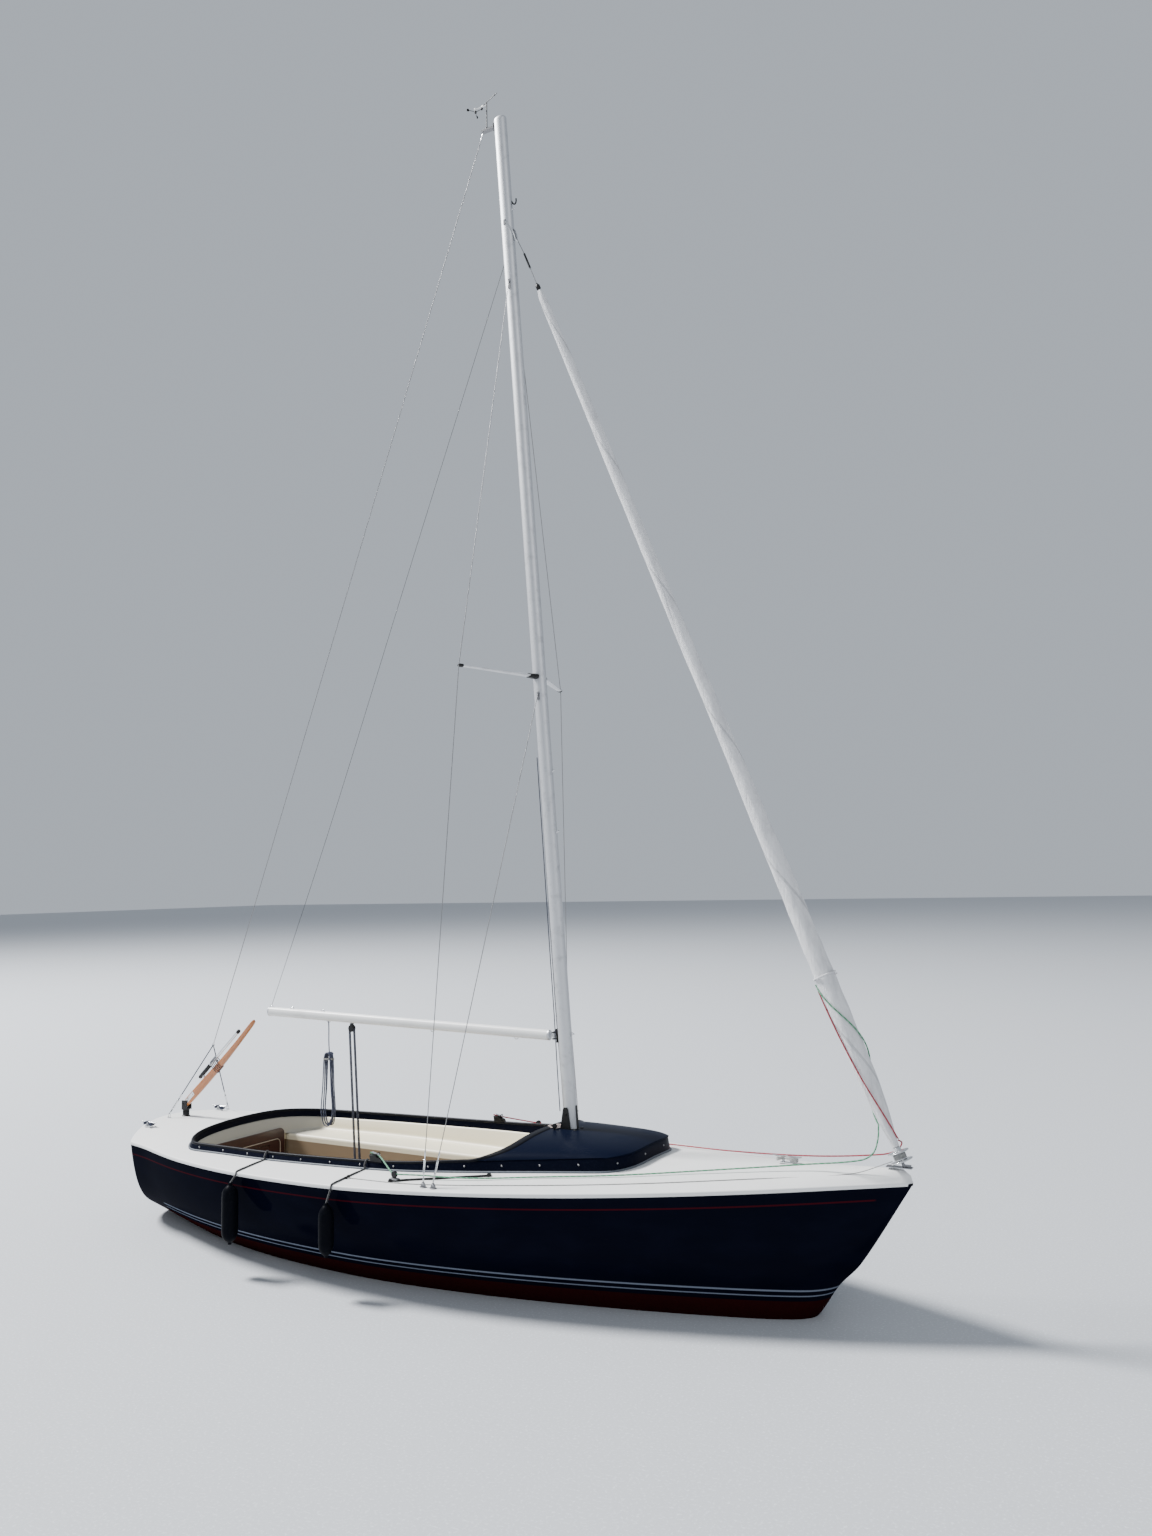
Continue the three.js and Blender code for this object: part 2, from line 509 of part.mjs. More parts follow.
// Profile rows of [height z, radius].
function turned(rows, sideCount) {
  const along = z => (z - FORESTAY_LOW.z) / stayAim.z;
  const profile = [[along(rows[0][0]), 0], ...rows.map(([z, r]) => [along(z), r]), [along(rows[rows.length - 1][0]), 0]];
  return new THREE.LatheGeometry(profile.map(([h, r]) => new THREE.Vector2(r, h)), sideCount)
    .rotateX(Math.PI / 2).applyMatrix4(stayFrame);
}
add('furled_jib', turned([[1062, 22], [1130, 34], [1300, 52], [1600, 63], [2000, 66], [2600, 62], [4000, 49],
  [5500, 42], [6900, 33], [7120, 26], [7150, 14]], 14), 'cloth');
add('furler_drum', turned([[978, 34], [980, 70], [987, 70], [990, 30], [1026, 30], [1029, 66], [1036, 66], [1038, 24],
  [1058, 24]], 20), 'steel');
add('halyard_swivel', turned([[7153, 13], [7160, 17], [7186, 17], [7196, 8], [7204, 8]], 10), 'black');
const stayPlate = box(0.8, 6, -14, 14, -40, 40).applyMatrix4(new THREE.Matrix4().makeRotationY(-MAST_RAKE)
  .setPosition(onMast(upTo(FORESTAY_PLATE_Z), MAST_FORE_AFT / 2)));
const stayEnd = onMast(upTo(FORESTAY_PLATE_Z), MAST_FORE_AFT / 2 + 4);
add('forestay_head', join(rod([onStay(7206), onStay(7340), onStay(7344), onStay(7474), onStay(7478), stayEnd],
  [3, 3, 7, 7, 3, 3], 6), stayPlate), 'steel');
const nose = deckTop(3190, 0);
add('stemhead_fitting', join(box(3090, 3244, -22, 22, nose + 5, nose + 11), box(3192, 3238, -5, 5, nose + 6, nose + 26),
  rod([onStay(nose + 12), onStay(972)], 10, 8)), 'steel');

// Boom
const boomVector = vec(BOOM_END.x - GOOSENECK.x, 0, BOOM_END.z - GOOSENECK.z);
const boomLength = boomVector.length();
const boomAngle = Math.atan2(BOOM_END.z - GOOSENECK.z, GOOSENECK.x - BOOM_END.x);
const boomFrame = new THREE.Matrix4().makeRotationY(boomAngle).setPosition(GOOSENECK.x, 0, GOOSENECK.z);
const boomTube = new THREE.ExtrudeGeometry(new THREE.Shape(oval(BOOM_DEEP, BOOM_ACROSS, 16)),
  { depth: boomLength + BOOM_TUBE_FRONT, bevelEnabled: false }).rotateY(-Math.PI / 2).translate(BOOM_TUBE_FRONT, 0, 0);
const knuckle = join(box(BOOM_TUBE_FRONT - 15, -8, -6, 6, -10, 10), upright(10, -14, 14, 0, 0, 12));
add('boom', join(boomTube, knuckle).applyMatrix4(boomFrame), 'boom');
const gooseneckFrame = new THREE.Matrix4().makeRotationY(-MAST_RAKE).setPosition(GOOSENECK.x, 0, GOOSENECK.z);
const mastBack = onMast(upTo(GOOSENECK.z)).x - MAST_FORE_AFT / 2 - GOOSENECK.x;
const gooseneck = join(box(mastBack - 7, mastBack - 1, -24, 24, -48, 48), box(-12, mastBack - 4, -11, 11, 18, 26),
  box(-12, mastBack - 4, -11, 11, -26, -18));
add('gooseneck', gooseneck.applyMatrix4(gooseneckFrame), 'black');

const boomZ = x => lerp(GOOSENECK.z, BOOM_END.z, (GOOSENECK.x - x) / (GOOSENECK.x - BOOM_END.x));
const blockX = -1100;
const baseX = -1030;
const blockTop = boomZ(blockX) - BOOM_DEEP / 2 - 1;
add('mainsheet_block', join(box(blockX - 10, blockX + 10, -9, 9, blockTop - 30, blockTop),
  crossPin(26, blockX, -16, 16, blockTop - 48, 16)), 'black');
add('mainsheet_base', join(box(baseX - 50, baseX + 50, -40, 40, SOLE_Z + 1, SOLE_Z + 9),
  box(baseX - 8, baseX + 8, -9, 9, SOLE_Z + 5, SOLE_Z + 40), crossPin(26, baseX, -16, 16, SOLE_Z + 62, 16)), 'black');

// Hank of spare rope and the rope that it hangs by from the boom. It swings clear over the coaming.
const HANK = { x: -1340, top: 1383, across: 56, rope: 4.5 };
// Rows of [height z, half width], from the top.
const HANK_ROWS = [[1383, 12], [1372, 28], [1340, 38], [1250, 42], [1100, 50], [1000, 60], [940, 64], [880, 60],
  [838, 46], [815, 26], [806, 10]];
function hankForm() {
  const edge = side => HANK_ROWS.map(([z, half]) => new THREE.Vector2(side * half, z));
  return new THREE.ExtrudeGeometry(new THREE.Shape([...edge(1), ...edge(-1).reverse()]),
    { depth: HANK.across, bevelEnabled: false }).rotateX(Math.PI / 2).translate(HANK.x, HANK.across / 2, 0);
}
add('rope_coil', hankForm(), 'rope');
const hangTop = boomZ(HANK.x) - BOOM_DEEP / 2 - 1;
add('rope_hanger', upright(HANK.rope, HANK.top + GAP, hangTop, HANK.x, 0, 8), 'rope');

// Deck fittings
const SHEET_CLEAT_X = { starboard: -245, port: -200 };
function cleat(x, y, length) {
  const floor = deckTop(x, y) + 4.5;
  const horn = rod([vec(x - length / 2, y, floor + 42), vec(x - length / 5, y, floor + 36), vec(x + length / 5, y,
    floor + 36), vec(x + length / 2, y, floor + 42)], [5, 9, 9, 5]);
  return join(box(x - 42, x + 42, y - 16, y + 16, floor, floor + 7), horn,
    ...[-1, 1].map(s => upright(9, floor + 4, floor + 36, x + s * 24, y, 10)));
}
add('bow_cleat', cleat(2460, 0, 190), 'steel');
sides.forEach(([side, s]) => {
  add(`stern_cleat_${side}`, cleat(-2960, s * 385, 170), 'steel');
  const track = (along, up) => {
    const x = lerp(TRACK.aft.x, TRACK.front.x, along);
    const y = lerp(TRACK.aft.y, TRACK.front.y, along);
    return vec(x, s * y, deckTop(x, y) + up);
  };
  const block = track(0.06, 0);
  add(`sheet_lead_${side}`, join(loft(steps(6).map(t => [[-13, 6], [13, 6], [13, 18], [-13, 18]]
    .map(([across, up]) => track(t, up).add(vec(0, across, 0))))),
  box(block.x - 34, block.x + 34, block.y - 18, block.y + 18, block.z + 16, block.z + 32),
  crossPin(26, block.x, block.y - 11, block.y + 11, block.z + 54, 14)), 'black');
  const cleatX = SHEET_CLEAT_X[side];
  const cleatY = s * (coamingHalf(cleatX) - 24);
  const cleatFloor = bandTop(cleatX, coamingHalf(cleatX)) + 3.5;
  // Side view of the wedge under the cleat, as [x, z] from the middle of its foot.
  const wedge = prism([[-50, 0], [50, 0], [44, 22], [-36, 44], [-56, 44]], -14, 14).rotateX(Math.PI / 2);
  const cams = box(-48, 46, -22, 22, 0, 22).rotateY(THREE.MathUtils.degToRad(12)).translate(-10, 0, 33);
  add(`sheet_cleat_${side}`, join(wedge, cams).translate(cleatX, cleatY, cleatFloor), 'black');
});

add('transom_bracket', cut(box(-3170, -3050, -70, 70, 380, 460), hullForm().translate(-GAP, 0, 0)), 'black');

// Fenders hang along the starboard side, each by a line over the deck's edge to the coaming.
const FENDERS = [
  // name, x, top, low, radius, x of the line's end
  ['fender_aft', -1261, 615, 225, 58, -1242],
  ['fender_mid', -342, 590, 270, 52, -322],
];
function fender(x, top, low, r, endX) {
  const y = -(deckHalf(x) + r + 6);
  const lineR = 4;
  const body = new THREE.LatheGeometry([[0, low], [r * 0.5, low + 8], [r * 0.92, low + 50], [r, low + 90], [r, top - 90],
    [r * 0.92, top - 50], [r * 0.4, top - 6], [14, top + 24], [0, top + 26]].map(([a, b]) => new THREE.Vector2(a, b)), 16)
    .rotateX(Math.PI / 2).translate(x, y, 0);
  const edge = deckHalf(x);
  const foot = coamingHalf(endX) + lineR + 2;
  const over = steps(3).map(t => vec(lerp(x, endX, t), -lerp(edge - 12, foot, t),
    deckTop(lerp(x, endX, t), lerp(edge - 12, foot, t)) + lineR + 1.5));
  const line = [vec(x, y, top + 15), vec(x, -edge - 8, sheerZ(x) - 12), vec(x, -edge - 6, sheerZ(x) + 3), ...over,
    vec(endX, -foot, bandTop(endX, foot) + 4)];
  return join(body, rod(line, lineR, 6));
}
FENDERS.forEach(([name, ...sizes]) => add(name, fender(...sizes), 'rubber'));

// Wind sensor on the crane: a stalk with an arm, three cups under the arm's end and a vane over the stalk
const SENSOR = { x: 288, arm: 8801, top: 8809, hubX: 182, hubLow: 8774, hubTop: 8792, cups: 8784, reach: 64, cup: 11,
  ball: 12 };
const CUP_ANGLES = [116, 236, 356];
const VANE = { heading: -21, ahead: 140, behind: 80, z: 8827 };
add('sensor_stalk', join(upright(5, CRANE.high + GAP, SENSOR.top, SENSOR.x, 0, 10),
  box(SENSOR.x - 12, SENSOR.x + 12, -9, 9, CRANE.high + GAP, CRANE.high + 22),
  box(SENSOR.hubX, SENSOR.x + 4, -4, 4, SENSOR.arm, SENSOR.top),
  new THREE.SphereGeometry(SENSOR.ball, 12, 8).scale(1, 1, 0.8).translate(SENSOR.hubX, 0, SENSOR.arm + 6)), 'black');
const cupArms = CUP_ANGLES.map(degrees => {
  const a = THREE.MathUtils.degToRad(degrees);
  const end = vec(SENSOR.hubX + SENSOR.reach * Math.cos(a), SENSOR.reach * Math.sin(a), SENSOR.cups);
  return join(rod([vec(SENSOR.hubX, 0, SENSOR.cups), end], 2.5, 6),
    new THREE.SphereGeometry(SENSOR.cup, 8, 6).translate(end.x, end.y, end.z));
});
add('wind_cups', join(upright(8, SENSOR.hubLow, SENSOR.hubTop, SENSOR.hubX, 0, 10), ...cupArms), 'black');
const vane = join(upright(4, SENSOR.top + 1, VANE.z + 2, 0, 0, 8), rod([vec(-VANE.behind, 0, VANE.z),
  vec(VANE.ahead, 0, VANE.z)], 2.5, 6), box(-VANE.behind, -VANE.behind + 34, -1.5, 1.5, VANE.z - 6, VANE.z + 12),
new THREE.SphereGeometry(5, 8, 6).translate(VANE.ahead - 30, 0, VANE.z));
add('wind_vane', vane.rotateZ(THREE.MathUtils.degToRad(VANE.heading)).translate(SENSOR.x, 0, 0), 'black');

export default boat;
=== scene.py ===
"""Looks of an open day-sailing keelboat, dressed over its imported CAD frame.

Every length is in metres. +X points to the bow, +Y to port and +Z up, and the waterline is at z = 0.
"""

import json
import logging
import math
import operator
from dataclasses import dataclass, field
from enum import Enum
from functools import cache, reduce
from typing import Callable, Sequence

import bmesh
import bpy
import numpy as np
from mathutils import Matrix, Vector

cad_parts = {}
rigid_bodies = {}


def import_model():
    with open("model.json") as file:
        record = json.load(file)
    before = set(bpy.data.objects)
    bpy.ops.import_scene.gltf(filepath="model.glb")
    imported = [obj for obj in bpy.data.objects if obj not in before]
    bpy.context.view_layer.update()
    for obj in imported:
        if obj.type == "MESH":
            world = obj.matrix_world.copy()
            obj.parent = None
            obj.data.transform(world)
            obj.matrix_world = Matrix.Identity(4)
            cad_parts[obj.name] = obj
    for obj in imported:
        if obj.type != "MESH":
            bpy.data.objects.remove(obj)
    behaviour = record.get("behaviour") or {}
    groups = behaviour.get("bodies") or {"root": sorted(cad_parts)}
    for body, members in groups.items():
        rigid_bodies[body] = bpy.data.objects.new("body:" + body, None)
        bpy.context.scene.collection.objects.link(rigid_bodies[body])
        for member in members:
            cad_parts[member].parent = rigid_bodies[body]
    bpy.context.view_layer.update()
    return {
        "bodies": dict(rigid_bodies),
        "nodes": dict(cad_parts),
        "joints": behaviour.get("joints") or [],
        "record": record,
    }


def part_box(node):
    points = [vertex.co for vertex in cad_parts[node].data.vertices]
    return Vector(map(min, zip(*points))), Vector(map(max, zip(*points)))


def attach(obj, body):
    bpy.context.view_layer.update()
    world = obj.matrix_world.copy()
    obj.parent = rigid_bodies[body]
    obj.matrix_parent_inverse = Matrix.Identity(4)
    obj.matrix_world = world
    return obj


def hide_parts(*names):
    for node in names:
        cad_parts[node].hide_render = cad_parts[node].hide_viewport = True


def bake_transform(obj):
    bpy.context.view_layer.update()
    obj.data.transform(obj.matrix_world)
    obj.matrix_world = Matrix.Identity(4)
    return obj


Array = np.ndarray
Pair = tuple[float, float]
Triple = tuple[float, float, float]
Colour = Triple
LOG = logging.getLogger("keelboat")
TURN = 2 * np.pi


# Geometry


def unit(vectors: Array) -> Array:
    """Vectors scaled to length one along their last axis."""
    return vectors / np.maximum(np.linalg.norm(vectors, axis=-1, keepdims=True), 1e-12)


def stack(x: Array | float, y: Array | float, z: Array | float) -> Array:
    """Points from their three coordinates, which broadcast against each other."""
    return np.stack(np.broadcast_arrays(x, y, z), -1).astype(float)


def around(count: int) -> Array:
    """The angles of a full turn, evenly spaced."""
    return np.linspace(0, TURN, count, endpoint=False)


def travelled(points: Array) -> Array:
    """For each point of a line, its length so far."""
    return np.concatenate(([0.0], np.cumsum(np.linalg.norm(np.diff(points, axis=0), axis=1))))


def eased(ring: Array, rounds: int) -> Array:
    """A closed line after rounds of averaging each point with its neighbours."""
    for _ in range(rounds):
        ring = (np.roll(ring, 1, 0) + 2 * ring + np.roll(ring, -1, 0)) / 4
    return ring


def mm(rows: Sequence[Sequence[float]]) -> Array:
    """A table in metres, from rows in millimetres."""
    return np.array(rows, float) / 1000


def oval(long: float, wide: float, count: int) -> Array:
    """An outline (long cos a, wide sin a)."""
    return np.column_stack([long * np.cos(around(count)), wide * np.sin(around(count))])


def squared(wave: Array, power: float) -> Array:
    """A wave with fuller shoulders: its sign times |wave|^power."""
    return np.sign(wave) * np.abs(wave) ** power


def carried(points: Array, matrix: Array) -> Array:
    """Points moved by a 4 x 4 matrix."""
    return points @ matrix[:3, :3].T + matrix[:3, 3]


class Side(Enum):
    """A side of the boat, and the sign of its y."""

    STARBOARD = -1
    PORT = 1

    @property
    def word(self) -> str:
        """The side's name as it stands in node names."""
        return self.name.lower()


class Curve:
    """A smooth function through the rows of a table of (x, value)."""

    def __init__(self, rows: Sequence[Pair], unit_size: float = 0.001) -> None:
        """Keeps the table.

        Args:
            rows: The table's rows, x rising.
            unit_size: Metres in one unit of the table.
        """
        self.x, self.value = np.array(rows, float).T * unit_size
        inner = (self.value[2:] - self.value[:-2]) / (self.x[2:] - self.x[:-2])
        ends = np.diff(self.value)[[0, -1]] / np.diff(self.x)[[0, -1]]
        self.slope = np.concatenate((ends[:1], inner, ends[1:]))

    def __call__(self, at: Array | float) -> Array:
        """The value at x, by cubic Hermite pieces: h00 v0 + h10 h m0 + h01 v1 + h11 h m1."""
        at = np.clip(at, self.x[0], self.x[-1])
        i = np.clip(np.searchsorted(self.x, at) - 1, 0, len(self.x) - 2)
        h = self.x[i + 1] - self.x[i]
        t = (at - self.x[i]) / h
        t2, t3 = t * t, t**3
        start = (2 * t3 - 3 * t2 + 1) * self.value[i] + (t3 - 2 * t2 + t) * h * self.slope[i]
        return start + (3 * t2 - 2 * t3) * self.value[i + 1] + (t3 - t2) * h * self.slope[i + 1]


def spline(points: Sequence[Sequence[float]], step: float = 0.012) -> Array:
    """A smooth line through points, sampled about every step metres along its chords."""
    given = np.array(points, float)
    chord = travelled(given)
    at = np.linspace(0, chord[-1], max(3, int(chord[-1] / step)))
    return np.stack([Curve(list(zip(chord, column)), 1.0)(at) for column in given.T], -1)


UP, ALONG, ACROSS = (0, 0, 1), (1, 0, 0), (0, 1, 0)


def frame_of(at: Sequence[float], up: Sequence[float] = UP, ahead: Sequence[float] = ALONG) -> Array:
    """A 4 x 4 matrix that stands local z on up, with local x as near ahead as it can be."""
    z = unit(np.array(up, float))
    y = unit(np.cross(z, np.array(ahead, float)))
    made = np.eye(4)
    made[:3] = np.column_stack([np.cross(y, z), y, z, at])
    return made


def pitched(at: Pair, run: float, rise: float) -> Array:
    """A 4 x 4 matrix at (x, z) whose local x points along (run, rise) and whose local y is the boat's."""
    c, s = np.array([run, rise]) / math.hypot(run, rise)
    return np.array([[c, 0, -s, at[0]], [0, 1, 0, 0], [s, 0, c, at[1]], [0, 0, 0, 1]])


@dataclass
class Form:
    """A mesh in the making.

    Attributes:
        points: One row for each point.
        faces: Arrays of point numbers, each array for faces with the same number of corners.
        along: For each point of a tube, the cosine and sine of its angle and the length so far.
    """

    points: Array
    faces: list[Array]
    along: Array | None = None

    @staticmethod
    def grid(points: Array, wrap: bool = False, loop: bool = False, capped: bool = False) -> "Form":
        """Quads over rows and columns of points.

        Args:
            points: The rows of points.
            wrap: Whether each row's end meets its start.
            loop: Whether the last row meets the first.
            capped: Whether the first and the last row are filled.
        """
        rows, columns = points.shape[:2]
        index = np.arange(rows * columns).reshape(rows, columns)
        caps = [np.stack([index[0, ::-1], index[-1]])] if capped else []
        index = np.hstack([index, index[:, :1]]) if wrap else index
        index = np.vstack([index, index[:1]]) if loop else index
        corners = (index[:-1, :-1], index[:-1, 1:], index[1:, 1:], index[1:, :-1])
        return Form(points.reshape(-1, 3), [np.stack(corners, -1).reshape(-1, 4), *caps])

    @staticmethod
    def tube(path: Array, radius: float | Array, sides: int = 10, closed: bool = False) -> "Form":
        """A round tube along a path: p + r (cos a side + sin a up), capped unless its end meets its start."""
        path = np.asarray(path, float)
        ahead = unit(np.roll(path, -1, 0) - np.roll(path, 1, 0) if closed else np.gradient(path, axis=0))
        side = unit(np.cross(ahead, np.linalg.svd(ahead, full_matrices=False)[2][-1]))
        up = np.cross(side, ahead)
        cos, sin = np.cos(around(sides)), np.sin(around(sides))
        r = np.broadcast_to(radius, len(path))[:, None, None]
        rings = path[:, None] + r * (cos[None, :, None] * side[:, None] + sin[None, :, None] * up[:, None])
        made = Form.grid(rings, True, closed, not closed)
        made.along = stack(cos[None], sin[None], travelled(path)[:, None]).reshape(-1, 3)
        return made

    @staticmethod
    def lathe(profile: Sequence[Pair], sides: int = 32) -> "Form":
        """A turned form about local z, from (radius, height) rows: (r cos a, r sin a, z)."""
        r, z = np.array(profile, float).T[:, :, None]
        return Form.grid(stack(r * np.cos(around(sides)), r * np.sin(around(sides)), z), True, capped=True)

    @staticmethod
    def spool(upper: Sequence[Pair], sides: int) -> "Form":
        """A turned form whose lower half mirrors its upper one, from (radius, height) rows."""
        return Form.lathe([*upper, *((r, -z) for r, z in upper[::-1])], sides)

    @staticmethod
    def prism(outline: Array, low: float, high: float) -> "Form":
        """A plate between two heights over an outline of (x, y)."""
        x, y = outline.T
        return Form.grid(stack(x[None], y[None], np.array([low, high])[:, None]), True, capped=True)

    @staticmethod
    def block(low: Sequence[float], high: Sequence[float]) -> "Form":
        """A box from its lowest to its highest corner."""
        corners = np.array([[low[0], low[1]], [high[0], low[1]], [high[0], high[1]], [low[0], high[1]]])
        return Form.prism(corners, low[2], high[2])

    def placed(self, matrix: Array) -> "Form":
        """The same form moved by a 4 x 4 matrix."""
        return Form(carried(self.points, np.array(matrix, float)), list(self.faces), self.along)

    def shifted(self, by: Sequence[float]) -> "Form":
        """The same form moved by a vector."""
        return Form(self.points + np.array(by, float), list(self.faces), self.along)

    def paired(self) -> "Form":
        """The form and its mirror image in local y."""
        return self + self.placed(np.diag([1, -1, 1, 1]))

    def copies(self, frames: Sequence[Array]) -> "Form":
        """One copy in each of several 4 x 4 frames, as one form."""
        return joined([self.placed(frame) for frame in frames])

    def __add__(self, other: "Form") -> "Form":
        """Both forms as one."""
        moved = [f + len(self.points) for f in other.faces]
        both = self.along is not None and other.along is not None
        along = np.vstack([self.along, other.along]) if both else None
        return Form(np.vstack([self.points, other.points]), [*self.faces, *moved], along)

    def mesh(self, name: str) -> bpy.types.Mesh:
        """A Blender mesh of the form, welded, with its faces turned outwards."""
        sides = np.concatenate([np.full(len(f), f.shape[1]) for f in self.faces])
        loops = np.concatenate([f.ravel() for f in self.faces])
        mesh = bpy.data.meshes.new(name)
        mesh.vertices.add(len(self.points))
        mesh.vertices.foreach_set("co", self.points.astype(np.float32).ravel())
        mesh.loops.add(len(loops))
        mesh.loops.foreach_set("vertex_index", loops.astype(np.int32))
        mesh.polygons.add(len(sides))
        mesh.polygons.foreach_set("loop_start", (np.cumsum(sides) - sides).astype(np.int32))
        mesh.update(calc_edges=True)
        if self.along is not None:
            layer = mesh.attributes.new("along", "FLOAT_VECTOR", "POINT")
            layer.data.foreach_set("vector", self.along.astype(np.float32).ravel())
        work = bmesh.new()
        work.from_mesh(mesh)
        bmesh.ops.remove_doubles(work, verts=work.verts, dist=2e-5)
        bmesh.ops.recalc_face_normals(work, faces=work.faces)
        work.to_mesh(mesh)
        work.free()
        return mesh


def joined(forms: Sequence[Form]) -> Form:
    """Several forms as one."""
    return reduce(operator.add, forms)


# Shaders


def arithmetic(operation: str, number_first: bool = False) -> Callable:
    """A method of Socket for an arithmetic sign, which may stand behind a plain number."""

    def method(self: "Socket", other: "Socket | float") -> "Socket":
        """A Math node of this and the other value."""
        values = (other, self) if number_first else (self, other)
        return self.graph.node("ShaderNodeMath", {"operation": operation}, dict(enumerate(values)))

    return method


class Socket:
    """A node's output, whose arithmetic adds Math nodes."""

    def __init__(self, graph: "Graph", out: bpy.types.NodeSocket) -> None:
        """Keeps the graph and the output."""
        self.graph, self.out = graph, out

    def math(self, operation: str, *others: "Socket | float") -> "Socket":
        """A Math node of this and other values."""
        return self.graph.node("ShaderNodeMath", {"operation": operation}, dict(enumerate((self, *others))))

    __add__, __radd__ = arithmetic("ADD"), arithmetic("ADD", True)
    __sub__, __rsub__ = arithmetic("SUBTRACT"), arithmetic("SUBTRACT", True)
    __mul__, __rmul__ = arithmetic("MULTIPLY"), arithmetic("MULTIPLY", True)
    __truediv__ = arithmetic("DIVIDE")

    def step(self, low: float, high: float) -> "Socket":
        """Nought below low and one above high, smooth between them."""
        values = {"Value": self, "From Min": low, "From Max": high}
        return self.graph.node("ShaderNodeMapRange", {"interpolation_type": "SMOOTHSTEP"}, values)

    def band(self, centre: float, half: float, soft: float = 0.001) -> "Socket":
        """One within half of centre, nought outside it."""
        return 1.0 - (self - centre).math("ABSOLUTE").step(half - soft, half + soft)


class Graph:
    """A material's node tree."""

    def __init__(self, name: str) -> None:
        """Makes an empty material."""
        self.material = bpy.data.materials.new(name)
        self.material.use_nodes = True
        self.tree = self.material.node_tree
        self.tree.nodes.clear()

    def node(
        self, kind: str, settings: dict | None = None, sockets: dict | None = None, out: int | str = 0
    ) -> Socket:
        """Adds a node.

        Args:
            kind: Its type.
            settings: Its properties, set first.
            sockets: Its inputs by name or number; each is a Socket or a value.
            out: The output to return.
        """
        made = self.tree.nodes.new(kind)
        for key, value in (settings or {}).items():
            setattr(made, key, value)
        for key, value in (sockets or {}).items():
            if isinstance(value, Socket):
                self.tree.links.new(value.out, made.inputs[key])
            else:
                made.inputs[key].default_value = value
        return Socket(self, made.outputs[out] if len(made.outputs) else None)

    def place(self) -> Socket:
        """The point's place on the boat."""
        return self.node("ShaderNodeTexCoord", out="Object")

    def along(self) -> Socket:
        """The tube's own coordinates."""
        return self.node("ShaderNodeAttribute", {"attribute_name": "along"}, out="Vector")

    def split(self, vector: Socket) -> tuple[Socket, Socket, Socket]:
        """A vector's three parts."""
        parts = self.node("ShaderNodeSeparateXYZ", sockets={0: vector}).out.node.outputs
        return tuple(Socket(self, part) for part in parts)

    def noise(
        self, vector: Socket, scale: float, detail: float = 3.0, rough: float = 0.5, stretch: tuple = ()
    ) -> Socket:
        """Cloudy noise from nought to one, over a vector that may be stretched along each axis first."""
        if stretch:
            vector = self.node("ShaderNodeVectorMath", {"operation": "MULTIPLY"}, {0: vector, 1: stretch})
        inputs = {"Vector": vector, "Scale": scale, "Detail": detail, "Roughness": rough}
        return self.node("ShaderNodeTexNoise", sockets=inputs)

    def mix(self, factor: Socket | float, first: Socket | Colour, second: Socket | Colour) -> Socket:
        """One colour going over into another."""
        colours = [c if isinstance(c, Socket) else (*c, 1.0) for c in (first, second)]
        return self.node("ShaderNodeMix", {"data_type": "RGBA"}, {0: factor, 6: colours[0], 7: colours[1]}, 2)

    def bump(self, height: Socket, distance: float, strength: float = 1.0) -> Socket:
        """A normal from a height."""
        inputs = {"Height": height, "Distance": distance, "Strength": strength}
        return self.node("ShaderNodeBump", sockets=inputs)

    def surface(self, **inputs: "Socket | float | tuple") -> bpy.types.Material:
        """Ends the graph in one surface shader; underscores in names stand for spaces."""
        named = {key.replace("_", " "): value for key, value in inputs.items()}
        shader = self.node("ShaderNodeBsdfPrincipled", sockets=named)
        self.node("ShaderNodeOutputMaterial", sockets={"Surface": shader})
        return self.material


@dataclass(frozen=True)
class Finish:
    """A surface finish.

    Attributes:
        name: The material's name.
        colour: Its main colour.
        rough: Its roughness.
        slot: The record's slot that it stands for where that isn't its name; empty for none. Not used.
        shine: How much it mirrors.
    """

    name: str
    colour: Colour
    rough: float = 0.4
    slot: str | None = field(default=None, kw_only=True)
    shine: float = field(default=0.5, kw_only=True)

    @cache
    def material(self) -> bpy.types.Material:
        """The finish's material, made once."""
        return self.shade(Graph(self.name))

    def tone(self, factor: float, lift: float = 0.0) -> Colour:
        """The main colour times a factor, lifted a little."""
        return tuple(min(1.0, c * factor + lift) for c in self.colour)

    def shade(self, g: Graph) -> bpy.types.Material:
        """Moulded plastic: fine grain, faint scuffs and uneven gloss."""
        at = g.place()
        scuff = g.noise(at, 60, 5, 0.6)
        grain = g.noise(at, 900, 2)
        lighter = self.tone(1.6, 0.004)
        colour = g.mix(scuff.step(0.5, 0.75) * 0.5, self.colour, lighter)
        rough = self.rough + (scuff - 0.5) * 0.25
        normal = g.bump(grain, 0.0004, 0.4)
        return g.surface(Base_Color=colour, Roughness=rough, Normal=normal, Specular_IOR_Level=self.shine)


